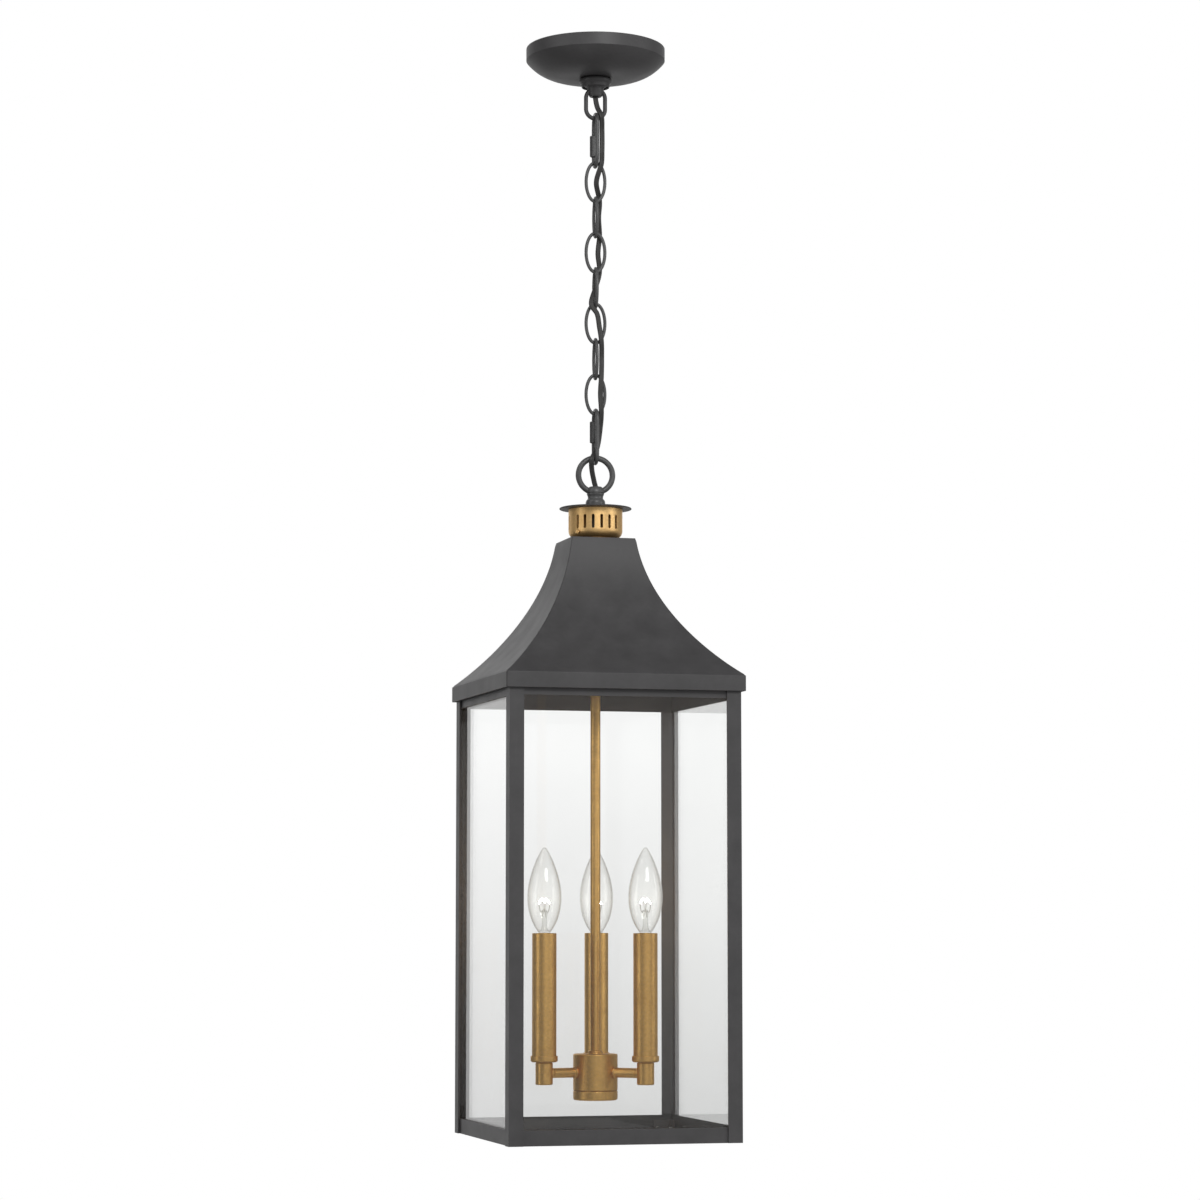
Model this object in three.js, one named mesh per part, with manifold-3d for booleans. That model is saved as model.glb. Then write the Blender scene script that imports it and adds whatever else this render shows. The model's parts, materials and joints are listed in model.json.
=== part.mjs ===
// Hanging lantern: ceiling canopy, chain with a laced cord, flared square roof over a glazed
// square frame, and a three-candle cluster on a centre stem. Millimetres, +Z up.
// The origin is on the ceiling, at the centre of the canopy. Everything hangs in -Z.
import * as THREE from "three";
import { mergeVertices } from "three/addons/utils/BufferGeometryUtils.js";
import Module from "manifold-3d";

const wasm = await Module();
wasm.setup();

// ---- driving dimensions ----
const GAP = 0.3; // clearance between pieces that touch or pass through each other

const CANOPY_R = 65;
const CANOPY_BAND = 11.4; // straight rim above the domed underside
const CANOPY_DEPTH = 28;
const CANOPY_SWELL = 4.6; // power of the dome curve: full at the rim, nearly flat at the middle
const CANOPY_WALL = 1.4;
const COLLAR_R = 15.4;
const COLLAR_BORE = 11.9;
const COLLAR_HEIGHT = 8.5;
const THREAD_R = 4.9; // hollow threaded pipe through crossbar, canopy loop and lantern top
const CORD_BORE = 3.3;

const LOOP_WIRE = 1.95; // wire radii
const QUICK_WIRE = 1.8;
const LINK_WIRE = 1.55;
const RING_WIRE = 2.7;
const LOOP_OUTER_WIDTH = 22;
const LOOP_TOP = -36;
const LOOP_BOTTOM = -68.4;
const QUICK_INNER = [15.4, 46]; // inner width and length
const LINK_INNER = [14.7, 33.8];
const LINK_COUNT = 7;
const RING_INNER_R = 13.3;
const CHAIN_TURN_DEG = -4.5; // the chain, its loop and its ring hang turned a little about Z

const CAP_DISC_R = 33.5;
const GALLERY_R = 25;
const GALLERY_WALL = 1;
const GALLERY_BEND = 7; // the band turns inward at its foot, then down onto the roof as a short collar
const GALLERY_LIFT = 1.5;
const SLOT_STEP_DEG = 18;
const SLOT_FIRST_DEG = -91.8;
const SLOTS_MISSING = [3, 16]; // plain places in the band, either side of the front
const SLOT_SIZE = [2.6, 13];

const ROOF_TOP_HALF = 30.5;
const EAVE_HALF = 110.85;
const ROOF_WALL = 1.2;
const ROOF_CURVE = [0.489, 0.105, 0.852, 0.69]; // two control points, as shares of drop and spread
const POST_HALF = 107.1; // from the axis to the outside of the posts
const POST_FLANGE = 13.3;
const POST_WALL = 1.6;
const GLASS = 3;

const STEM_R = 4.6;
const HUB_R = 20.3;
const ARM_REACH = 53;
const ARM_R = 4.5;
const ARM_ANGLES = { back: 74, left: 194, right: 314 };
const KNUCKLE_R = 7.85;
const CUP_R = 12.35;
const COVER_R = 11.05;
const COVER_WALL = 0.8;
const BULB_WALL = 0.7;

// ---- heights, all measured down from the ceiling ----
const RING_CENTRE_Z = -403.4;
const LANTERN_DATUM = -404.35; // the lantern's own heights are measured down from here
const below = (drop) => LANTERN_DATUM - drop;
const NUB_TOP = below(9.9);
const CAP_DISC_TOP = below(29.8);
const CAP_DISC_THICK = 1.3;
const ROOF_TOP = below(60.3);
const EAVE_TOP = below(190.7);
const EAVE_BOTTOM = below(205);
const TOP_RAIL_BOTTOM = below(211.4);
const BASE_RAIL_TOP = below(593.5);
const BASE_BOTTOM = below(607.2);
const COVER_TOP = below(421.8);
const CUP_TOP = below(532.3);
const CUP_BOTTOM = below(538);
const ARM_Z = below(548);
const KNUCKLE_BOTTOM = below(558.4);
const HUB_TOP = below(531.4);
const HUB_SEAM = below(564.4);
const HUB_BOTTOM = below(573.2);
const BULB_TIP = below(344.1);

// ---- materials ----
const paint = new THREE.MeshStandardMaterial({ name: "charcoal_paint", color: "#4b4b4a", roughness: 0.55 });
const brass = new THREE.MeshStandardMaterial({
  name: "aged_brass", color: "#b08d55", metalness: 0.85, roughness: 0.42,
});
const gilt = new THREE.MeshStandardMaterial({
  name: "gallery_brass", color: "#cf9f55", metalness: 0.85, roughness: 0.35,
});
const zinc = new THREE.MeshStandardMaterial({
  name: "plated_steel", color: "#a9a9a6", metalness: 0.9, roughness: 0.4,
});
const glass = new THREE.MeshStandardMaterial({
  name: "clear_glass", color: "#f2f4f4", roughness: 0.05, transparent: true, opacity: 0.2,
});
const bulbGlass = new THREE.MeshStandardMaterial({
  name: "bulb_glass", color: "#fbf7ee", roughness: 0.04, transparent: true, opacity: 0.3,
});
const cordCover = new THREE.MeshStandardMaterial({
  name: "cord_jacket", color: "#2c2c2b", roughness: 0.6,
});
const phenolic = new THREE.MeshStandardMaterial({
  name: "socket_phenolic", color: "#1f1e1d", roughness: 0.5,
});

// ---- helpers ----
const group = new THREE.Group();
group.name = "hanging_lantern";

// A closed three.js geometry as a solid, turned right side out if its faces point inward.
function solid(geometry) {
  const bare = geometry.index ? geometry.toNonIndexed() : geometry.clone();
  bare.deleteAttribute("normal");
  bare.deleteAttribute("uv");
  const merged = mergeVertices(bare, 1e-4);
  const index = Array.from(merged.index.array);
  const position = merged.attributes.position.array;
  let volume = 0;
  const a = new THREE.Vector3();
  const b = new THREE.Vector3();
  const c = new THREE.Vector3();
  const kept = [];
  for (let i = 0; i < index.length; i += 3) {
    const [p, q, r] = index.slice(i, i + 3);
    if (p === q || q === r || r === p) continue;
    kept.push(p, q, r);
    a.fromArray(position, 3 * p);
    b.fromArray(position, 3 * q);
    c.fromArray(position, 3 * r);
    volume += a.dot(b.cross(c));
  }
  if (volume < 0) {
    for (let i = 0; i < kept.length; i += 3) {
      [kept[i], kept[i + 1]] = [kept[i + 1], kept[i]];
    }
  }
  return new wasm.Manifold(new wasm.Mesh({
    numProp: 3,
    vertProperties: new Float32Array(position),
    triVerts: new Uint32Array(kept),
  }));
}

function add(name, shape, material) {
  const made = shape.getMesh();
  const geometry = new THREE.BufferGeometry();
  geometry.setAttribute("position", new THREE.BufferAttribute(made.vertProperties, made.numProp));
  geometry.setIndex(new THREE.BufferAttribute(made.triVerts, 1));
  geometry.computeVertexNormals();
  const mesh = new THREE.Mesh(geometry, material);
  mesh.name = name;
  group.add(mesh);
}

const union = (...shapes) => shapes.reduce((whole, shape) => whole.add(shape));
const cut = (shape, ...cutters) => cutters.reduce((rest, cutter) => rest.subtract(cutter), shape);

// A shape turned about the Z axis from a closed outline of [radius, z] points.
function turned(outline, segments = 32) {
  const points = outline.map(([r, z]) => new THREE.Vector2(r, z));
  return solid(new THREE.LatheGeometry([...points, points[0].clone()], segments).rotateX(Math.PI / 2));
}

// The same with four sides, square to X and Y. Radii are the distances to the flat sides.
function squareTurned(outline) {
  const points = outline.map(([half, z]) => new THREE.Vector2(half * Math.SQRT2, z));
  const lathe = new THREE.LatheGeometry([...points, points[0].clone()], 4);
  return solid(lathe.rotateX(Math.PI / 2).rotateZ(Math.PI / 4));
}

function rod(radius, zLow, zHigh, x = 0, y = 0, segments = 16) {
  const cylinder = new THREE.CylinderGeometry(radius, radius, zHigh - zLow, segments).rotateX(Math.PI / 2);
  return solid(cylinder.translate(x, y, (zLow + zHigh) / 2));
}

// A round bar pointing away from the Z axis at an angle, between two distances from it.
function radialRod(radius, near, far, angleDeg, z, segments = 12) {
  const cylinder = new THREE.CylinderGeometry(radius, radius, far - near, segments).rotateZ(-Math.PI / 2);
  cylinder.translate((near + far) / 2, 0, 0).rotateZ(THREE.MathUtils.degToRad(angleDeg));
  return solid(cylinder.translate(0, 0, z));
}

function block(low, high) {
  const size = high.map((value, axis) => value - low[axis]);
  const middle = high.map((value, axis) => (value + low[axis]) / 2);
  return solid(new THREE.BoxGeometry(...size).translate(...middle));
}

function hexPrism(acrossFlats, zLow, zHigh, x = 0, y = 0) {
  return rod(acrossFlats / Math.sqrt(3), zLow, zHigh, x, y, 6);
}

// A round wire bent into an oval: "stadium" has straight sides and half-round ends, "ellipse" is
// curved all the way. topZ and the result's bottom are at the middle of the wire. facing "x" lays
// it in the XZ plane, "y" in the YZ plane.
function wireOval({ wire, innerWidth, innerLength, top, facing, bend }, around = 6, along = 18) {
  const halfWide = innerWidth / 2 + wire;
  const halfLong = innerLength / 2 + wire;
  const torus = new THREE.TorusGeometry(halfWide, wire, around, along).rotateZ(Math.PI / along);
  const at = torus.attributes.position;
  for (let i = 0; i < at.count; i += 1) {
    const [x, y] = [at.getX(i), at.getY(i)];
    if (bend === "stadium") {
      at.setY(i, y + Math.sign(y) * (halfLong - halfWide));
      continue;
    }
    const turn = Math.atan2(y, x);
    const outward = Math.hypot(x, y) - halfWide;
    const slope = Math.hypot(halfLong * Math.cos(turn), halfWide * Math.sin(turn));
    at.setX(i, (halfWide + (outward * halfLong) / slope) * Math.cos(turn));
    at.setY(i, (halfLong + (outward * halfWide) / slope) * Math.sin(turn));
  }
  torus.rotateX(Math.PI / 2);
  if (facing === "y") torus.rotateZ(Math.PI / 2);
  return solid(torus.translate(0, 0, top - halfLong));
}

const hung = (shape) => shape.rotate([0, 0, CHAIN_TURN_DEG]);

function tubeAlong(points, halfWide, halfThick, steps) {
  const section = new THREE.Shape();
  section.absellipse(0, 0, halfWide, halfThick, 0, Math.PI * 2);
  const path = new THREE.CatmullRomCurve3(points.map((p) => new THREE.Vector3(...p)), false, "centripetal");
  return solid(
    new THREE.ExtrudeGeometry(section, {
      steps, extrudePath: path, bevelEnabled: false, curveSegments: 4,
    }),
  );
}

function polar(radius, angleDeg) {
  const angle = THREE.MathUtils.degToRad(angleDeg);
  return [radius * Math.cos(angle), radius * Math.sin(angle)];
}

// ---- ceiling mount ----
const CROSSBAR = [96, 24, 2]; // length, width, thickness
const SCREW_X = 35;
const SCREW_R = 2.1;
const SCREW_HOLE_R = 2.6;

function crossbar() {
  const [long, wide, thick] = CROSSBAR;
  const bar = block([-long / 2, -wide / 2, -thick], [long / 2, wide / 2, 0]);
  const holes = [-SCREW_X, SCREW_X].map((x) => rod(SCREW_HOLE_R, -thick - 1, 1, x, 0, 16));
  return cut(bar, rod(THREAD_R + GAP, -thick - 1, 1), ...holes);
}

function crossbarScrew(x) {
  const headTop = -CROSSBAR[2] - GAP;
  const shank = rod(SCREW_R, headTop - 1, -0.2, x, 0, 10);
  const head = turned([
    [0, headTop], [4.2, headTop], [3.9, headTop - 1.6], [2.4, headTop - 2.6], [0, headTop - 2.8],
  ], 14);
  const slot = block([-5, -0.5, headTop - 4], [5, 0.5, headTop - 1.7]);
  return shank.add(cut(head, slot).translate([x, 0, 0]));
}

// The loop that the chain hangs from: a threaded barrel with a cord nub below it, and a bent wire
// loop brazed through the nub.
const BARREL_TOP = -21;
const BARREL_BOTTOM = -34;
const NIPPLE_BOTTOM = -30;
const LOOP_NUB_BOTTOM = -45.5;

function canopyLoop() {
  const barrel = turned([
    [0, BARREL_TOP], [COLLAR_BORE - GAP, BARREL_TOP], [COLLAR_BORE - GAP, BARREL_BOTTOM - 0.8],
    [COLLAR_BORE - 1.4, BARREL_BOTTOM - 1.6], [8.2, BARREL_BOTTOM - 2.6], [7.5, LOOP_NUB_BOTTOM + 7],
    [6.2, LOOP_NUB_BOTTOM + 1], [5.6, LOOP_NUB_BOTTOM], [0, LOOP_NUB_BOTTOM],
  ]);
  const loop = hung(wireOval({
    wire: LOOP_WIRE,
    innerWidth: LOOP_OUTER_WIDTH - 4 * LOOP_WIRE,
    innerLength: LOOP_TOP - LOOP_BOTTOM - 4 * LOOP_WIRE,
    top: LOOP_TOP - LOOP_WIRE,
    facing: "x",
    bend: "stadium",
  }, 8, 20));
  return cut(
    union(barrel, loop),
    rod(THREAD_R + GAP, NIPPLE_BOTTOM - GAP, BARREL_TOP + 5),
    rod(CORD_BORE, LOOP_NUB_BOTTOM - 2, BARREL_TOP + 5, 0, 0, 12),
  );
}

function pipe(zLow, zHigh) {
  return cut(rod(THREAD_R, zLow, zHigh, 0, 0, 16), rod(CORD_BORE, zLow - 1, zHigh + 1, 0, 0, 12));
}

function lockNut(zTop, thick = 3) {
  return cut(hexPrism(16, zTop - thick, zTop), rod(THREAD_R + GAP, zTop - thick - 1, zTop + 1, 0, 0, 12));
}

// ---- canopy ----
function canopyShell() {
  const dome = (r) => -CANOPY_BAND - (CANOPY_DEPTH - CANOPY_BAND) * (1 - (r / CANOPY_R) ** CANOPY_SWELL);
  const radii = [CANOPY_R, 64, 62, 58.5, 53, 45, 34, COLLAR_BORE + GAP];
  const outside = radii.map((r) => [r, dome(r)]);
  const inside = radii.map((r) => [Math.min(r, CANOPY_R - CANOPY_WALL), dome(r) + CANOPY_WALL]).reverse();
  return turned([[CANOPY_R, 0], ...outside, ...inside.slice(0, -1), [CANOPY_R - CANOPY_WALL, 0]], 32);
}

function collarRing() {
  const top = -CANOPY_DEPTH - GAP;
  const bottom = top - COLLAR_HEIGHT;
  return turned([
    [COLLAR_BORE, top], [COLLAR_R - 2, top], [COLLAR_R - 0.5, top - 0.8], [COLLAR_R, top - 2.4],
    [COLLAR_R - 0.5, top - 4.2], [COLLAR_R - 2, top - 5.4], [COLLAR_R - 2.4, bottom], [COLLAR_BORE, bottom],
  ], 28);
}

// ---- chain ----
// Each hanging piece as {name, wire, innerWidth, innerLength, facing, bend, top, bottom}: top and
// bottom are the heights of the wire's middle. Each piece's top rests in the bend of the one above.
function hangingPieces() {
  const kinds = [["quick_link_top", QUICK_WIRE, QUICK_INNER]];
  for (let i = 1; i <= LINK_COUNT; i += 1) kinds.push([`chain_link_${i}`, LINK_WIRE, LINK_INNER]);
  kinds.push(["quick_link_bottom", QUICK_WIRE, QUICK_INNER]);
  const pieces = [];
  let held = { wire: LOOP_WIRE, bottom: LOOP_BOTTOM + LOOP_WIRE };
  kinds.forEach(([name, wire, [innerWidth, innerLength]], i) => {
    const top = held.bottom + held.wire + wire + GAP;
    const bottom = top - innerLength - 2 * wire;
    const facing = i % 2 ? "x" : "y";
    const bend = name.startsWith("quick") ? "stadium" : "ellipse";
    held = { name, wire, innerWidth, innerLength, facing, bend, top, bottom };
    pieces.push(held);
  });
  return pieces;
}

const SLEEVE_LONG = 20.5;
const SLEEVE_FLATS = 6.4;
const sleeveY = QUICK_INNER[0] / 2 + QUICK_WIRE;

// The screw sleeve that closes a quick link, on the leg furthest to the back.
function linkSleeve(zMiddle) {
  const low = zMiddle - SLEEVE_LONG / 2;
  const high = zMiddle + SLEEVE_LONG / 2;
  const bore = rod(QUICK_WIRE + 0.2, low - 1, high + 1, 0, sleeveY, 12);
  return cut(hexPrism(SLEEVE_FLATS, low, high, 0, sleeveY), bore);
}

// The cord is laced through the chain. At each place where two links meet it passes through one
// of the four corners between the two crossing wires, given here as signs of [x, y].
const CORD_HALF = [2.4, 1.4];
const CORNER = 4.7;
const CORNERS = [[1, -1], [1, -1], [1, 1], [1, 1], [1, 1], [-1, -1], [1, -1], [1, -1], [1, -1]];
const RING_CORNER = [-4.6, -6.2]; // the ring is thicker, so the cord stands further off it
// Where the cord runs beside or through each piece, as [x, y, share of the way down].
const BESIDE = [
  [[5.9, -1.6, 0.3], [5.9, -1.6, 0.7]],
  [[0.8, -0.2, 0.5]],
  [[3.2, 1.2, 0.5]],
  [[3.2, 4.5, 0.5]],
  [[0, 0, 0.5]],
  [[0.6, -4.6, 0.27], [2.9, -4.2, 0.6]],
  [[5.6, -1.4, 0.5]],
  [[3.9, -4.5, 0.5]],
  [[4.4, -1.4, 0.3], [1.4, -1.2, 0.7]],
];

function cordPoints() {
  const pieces = hangingPieces();
  const points = [
    [0, 0, -1.5], [0, 0, -20], [0, 0, LOOP_NUB_BOTTOM - 1], [1.6, -1.6, LOOP_NUB_BOTTOM - 10.5],
  ];
  let above = LOOP_BOTTOM + LOOP_WIRE;
  pieces.forEach((piece, i) => {
    const [cornerX, cornerY] = CORNERS[i];
    points.push([cornerX * CORNER, cornerY * CORNER, (above + piece.top) / 2]);
    BESIDE[i].forEach(([x, y, share]) => {
      points.push([x, y, piece.top + share * (piece.bottom - piece.top)]);
    });
    above = piece.bottom;
  });
  const ringTop = RING_CENTRE_Z + RING_INNER_R + RING_WIRE;
  points.push([...RING_CORNER, (above + ringTop) / 2]);
  points.push([-3.9, -2.6, RING_CENTRE_Z + 5], [-1.1, -0.4, NUB_TOP + 4]);
  points.push([0, 0, NUB_TOP], [0, 0, NUB_TOP - 4], [0, 0, CAP_DISC_TOP + 5]);
  return points;
}

// ---- lantern top ----
function suspensionRing() {
  const ring = new THREE.TorusGeometry(RING_INNER_R + RING_WIRE, RING_WIRE, 8, 24).rotateX(Math.PI / 2);
  const foot = CAP_DISC_TOP + GAP;
  const nub = turned([
    [0, NUB_TOP], [5.6, NUB_TOP], [6.6, NUB_TOP - 1.1], [7.7, below(12.8)], [8.1, below(14.9)],
    [7.6, below(15.7)], [8, below(16.3)], [7.7, below(17.6)], [7, below(19.4)], [7, below(21.2)],
    [8.5, below(22.8)], [9.1, below(24.4)], [9.1, foot], [0, foot],
  ], 20);
  return cut(
    union(hung(solid(ring.translate(0, 0, RING_CENTRE_Z))), nub),
    rod(CORD_BORE, foot - 1, NUB_TOP + 4, 0, 0, 12),
    rod(THREAD_R + GAP, foot - 1, foot + 4.5),
  );
}

function capDisc() {
  const bottom = CAP_DISC_TOP - CAP_DISC_THICK;
  const rim = CAP_DISC_R;
  return turned([
    [THREAD_R + GAP, CAP_DISC_TOP], [rim - 0.6, CAP_DISC_TOP], [rim, CAP_DISC_TOP - 0.5],
    [rim - 0.3, bottom], [THREAD_R + GAP, bottom],
  ], 32);
}

const GALLERY_TOP = CAP_DISC_TOP - CAP_DISC_THICK - GAP;
const GALLERY_BOTTOM = ROOF_TOP + GAP;
const GALLERY_FACETS = 40; // two for each slot, turned so that each slot is cut through one flat
const SLOT_MIDDLE = below(44.5);
const GALLERY_SCREW_ANGLE = -146;
const GALLERY_SCREW_Z = below(54.2);
const GALLERY_SCREW_R = 1.2;

function slotCutter(angleDeg) {
  const [wide, long] = SLOT_SIZE;
  const straight = long / 2 - wide / 2;
  const shape = new THREE.Shape();
  shape.absarc(0, straight, wide / 2, 0, Math.PI);
  shape.absarc(0, -straight, wide / 2, Math.PI, 2 * Math.PI);
  const bar = new THREE.ExtrudeGeometry(shape, { depth: 8, bevelEnabled: false, curveSegments: 2 });
  bar.rotateX(Math.PI / 2).translate(0, -GALLERY_R + 5, SLOT_MIDDLE);
  return solid(bar.rotateZ(THREE.MathUtils.degToRad(angleDeg + 90)));
}

function gallery() {
  const r = GALLERY_R;
  const w = GALLERY_WALL;
  const g = GALLERY_BEND;
  const foot = GALLERY_BOTTOM;
  const low = foot + GALLERY_LIFT;
  const collar = r - g - 1;
  const bend = (radius) => [0, 22.5, 45, 67.5, 90].map((turn) => {
    const [outward, down] = polar(radius, turn);
    return [r - g + outward, low + g - down];
  });
  const band = turned([
    [r - w, GALLERY_TOP], [r, GALLERY_TOP], ...bend(g), [collar, low], [collar, foot], [collar - w, foot],
    [collar - w, low + w], ...bend(g - w).reverse(),
  ], GALLERY_FACETS).rotate([0, 0, SLOT_FIRST_DEG + 90 - 180 / GALLERY_FACETS]);
  const slots = [];
  for (let i = 0; i < 360 / SLOT_STEP_DEG; i += 1) {
    if (!SLOTS_MISSING.includes(i)) slots.push(slotCutter(SLOT_FIRST_DEG + i * SLOT_STEP_DEG));
  }
  const screwHole = radialRod(GALLERY_SCREW_R + GAP, r - 3, r + 2, GALLERY_SCREW_ANGLE, GALLERY_SCREW_Z, 12);
  return cut(band, ...slots, screwHole);
}

function galleryScrew() {
  const rod = (radius, near, far, segments) => (
    radialRod(radius, GALLERY_R + near, GALLERY_R + far, GALLERY_SCREW_ANGLE, GALLERY_SCREW_Z, segments)
  );
  return rod(GALLERY_SCREW_R, -4, 0.6, 12).add(rod(2.1, GAP, 1.3, 14));
}

// ---- roof ----
function roofProfile(steps = 12) {
  const [x1, y1, x2, y2] = ROOF_CURVE;
  const points = [];
  for (let i = 0; i <= steps; i += 1) {
    const s = i / steps;
    const b1 = 3 * (1 - s) ** 2 * s;
    const b2 = 3 * (1 - s) * s ** 2;
    const drop = b1 * x1 + b2 * x2 + s ** 3;
    const spread = b1 * y1 + b2 * y2 + s ** 3;
    points.push([
      ROOF_TOP_HALF + spread * (EAVE_HALF - ROOF_TOP_HALF), ROOF_TOP + drop * (EAVE_TOP - ROOF_TOP),
    ]);
  }
  return points;
}

// The profile moved inward by the sheet's thickness.
function inset(points, by) {
  return points.map(([half, z], i) => {
    const [h0, z0] = points[Math.max(i - 1, 0)];
    const [h1, z1] = points[Math.min(i + 1, points.length - 1)];
    const long = Math.hypot(h1 - h0, z1 - z0);
    return [half + ((z1 - z0) / long) * by, z - ((h1 - h0) / long) * by];
  });
}

function roof() {
  const outside = roofProfile();
  const inside = inset(outside, ROOF_WALL).slice(1, -1);
  const skirtInner = EAVE_HALF - ROOF_WALL;
  const eaveInner = [skirtInner, EAVE_TOP - ROOF_WALL];
  const topInner = [inside[0][0], ROOF_TOP - ROOF_WALL];
  // The nipple passes through a square hole at the middle of the flat top.
  const hole = THREAD_R + GAP;
  return squareTurned([
    [hole, ROOF_TOP], ...outside, [EAVE_HALF, EAVE_BOTTOM], [skirtInner, EAVE_BOTTOM], eaveInner,
    ...inside.reverse(), topInner, [hole, ROOF_TOP - ROOF_WALL],
  ]);
}

// ---- glazed frame ----
const POST_TOP = EAVE_TOP - 3.5;
const FRAME_HALF = POST_HALF - POST_WALL - GAP; // outside of the rails, which stand inside the posts
const PANE_OUTER = FRAME_HALF - POST_WALL - GAP;

function post(signX, signY) {
  const corner = new THREE.Shape();
  const outer = POST_HALF;
  const back = POST_HALF - POST_FLANGE;
  const inner = POST_HALF - POST_WALL;
  corner.moveTo(outer, outer);
  corner.lineTo(back, outer);
  corner.lineTo(back, inner);
  corner.lineTo(inner, inner);
  corner.lineTo(inner, back);
  corner.lineTo(outer, back);
  corner.closePath();
  const bar = new THREE.ExtrudeGeometry(corner, { depth: POST_TOP - BASE_BOTTOM, bevelEnabled: false });
  const turn = Math.atan2(signY, signX) - Math.PI / 4;
  return solid(bar.translate(0, 0, BASE_BOTTOM).rotateZ(turn));
}

// A square ring of angle section: a wall round the outside and a ledge along its bottom or top.
function angleRing(zLow, zHigh, ledgeAt, ledge) {
  const web = FRAME_HALF - POST_WALL;
  const lip = FRAME_HALF - ledge;
  const [near, far, inward] = ledgeAt === "bottom" ? [zLow, zHigh, POST_WALL] : [zHigh, zLow, -POST_WALL];
  return squareTurned([
    [FRAME_HALF, near], [FRAME_HALF, far], [web, far], [web, near + inward], [lip, near + inward],
    [lip, near],
  ]);
}

const LEDGE = 12;
const PANE_LOW = BASE_BOTTOM + POST_WALL + GAP;
const PANE_HIGH = POST_TOP - POST_WALL - GAP;

// The front and back panes run the full width, and the side panes stand between them.
function pane(side) {
  const outer = PANE_OUTER;
  const inner = PANE_OUTER - GLASS;
  const between = inner - GAP;
  const spans = {
    front: [[-outer, -outer], [outer, -inner]],
    back: [[-outer, inner], [outer, outer]],
    left: [[-outer, -between], [-inner, between]],
    right: [[inner, -between], [outer, between]],
  };
  const [low, high] = spans[side];
  return block([...low, PANE_LOW], [...high, PANE_HIGH]);
}

// ---- stem and candle cluster ----
const NIPPLE_LOW = ROOF_TOP - 26;
const STEM_TOP = ROOF_TOP - 27;
const COUPLING_R = 7.2;

// The stem ends in a wider coupling, bored for the threaded pipe above it.
function stem() {
  const low = HUB_TOP - 9;
  return turned([
    [CORD_BORE, low], [STEM_R, low], [STEM_R, STEM_TOP - 2], [COUPLING_R, STEM_TOP],
    [COUPLING_R, STEM_TOP + 15], [THREAD_R + GAP, STEM_TOP + 15], [THREAD_R + GAP, STEM_TOP + GAP],
    [CORD_BORE, STEM_TOP + GAP],
  ], 16);
}

function hubBody() {
  const wall = 2;
  const shoulder = HUB_TOP - 3;
  const shell = turned([
    [STEM_R + GAP, HUB_TOP + 1.4], [7, HUB_TOP + 1.4], [7, HUB_TOP], [HUB_R - 0.8, HUB_TOP],
    [HUB_R, HUB_TOP - 0.8], [HUB_R, HUB_SEAM + 0.4], [HUB_R - 0.4, HUB_SEAM], [HUB_R - wall, HUB_SEAM],
    [HUB_R - wall, shoulder], [STEM_R + GAP, shoulder],
  ], 20);
  const armHole = (angle) => radialRod(ARM_R + GAP, HUB_R - 6, HUB_R + 4, angle, ARM_Z);
  return cut(shell, ...Object.values(ARM_ANGLES).map(armHole));
}

function hubCap() {
  const plug = HUB_R - 2 - GAP;
  const top = HUB_SEAM - GAP;
  return turned([
    [0, top - 1], [plug - 2, top - 1], [plug - 2, top + 4], [plug, top + 4], [plug, top], [HUB_R - 0.4, top],
    [HUB_R, top - 0.4], [HUB_R, HUB_BOTTOM + 1], [HUB_R - 1, HUB_BOTTOM],
    [0, HUB_BOTTOM],
  ], 20);
}

// An arm with the upright knuckle brazed to its end, bored for the wire and the socket's stud.
const STUD_R = 4;
function arm(angleDeg) {
  const [x, y] = polar(ARM_REACH, angleDeg);
  const top = CUP_BOTTOM - GAP;
  const knuckle = turned([
    [0, top], [KNUCKLE_R - 0.5, top], [KNUCKLE_R, top - 0.5], [KNUCKLE_R, KNUCKLE_BOTTOM + 0.7],
    [KNUCKLE_R - 0.7, KNUCKLE_BOTTOM], [0, KNUCKLE_BOTTOM],
  ], 16).translate([x, y, 0]);
  const bar = radialRod(ARM_R, HUB_R - 1.6, ARM_REACH, angleDeg, ARM_Z);
  return cut(
    union(bar, knuckle),
    radialRod(2.8, HUB_R - 3, ARM_REACH, angleDeg, ARM_Z, 10),
    rod(STUD_R + GAP, ARM_Z - 3, CUP_TOP, x, y, 12),
  );
}

function cup(angleDeg) {
  const [x, y] = polar(ARM_REACH, angleDeg);
  const floor = CUP_BOTTOM + 1.6;
  return turned([
    [STUD_R + GAP, CUP_BOTTOM], [CUP_R - 1.4, CUP_BOTTOM], [CUP_R, CUP_BOTTOM + 1.2], [CUP_R, CUP_TOP - 0.3],
    [CUP_R - 0.3, CUP_TOP], [COVER_R + GAP, CUP_TOP], [COVER_R + GAP, floor], [STUD_R + GAP, floor],
  ], 16).translate([x, y, 0]);
}

const COVER_BOTTOM = CUP_BOTTOM + 1.6 + GAP;
function candleCover(angleDeg) {
  const [x, y] = polar(ARM_REACH, angleDeg);
  const inner = COVER_R - COVER_WALL;
  return turned([
    [inner, COVER_BOTTOM], [COVER_R, COVER_BOTTOM], [COVER_R, COVER_TOP - 0.3], [COVER_R - 0.3, COVER_TOP],
    [inner, COVER_TOP],
  ], 20).translate([x, y, 0]);
}

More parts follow.
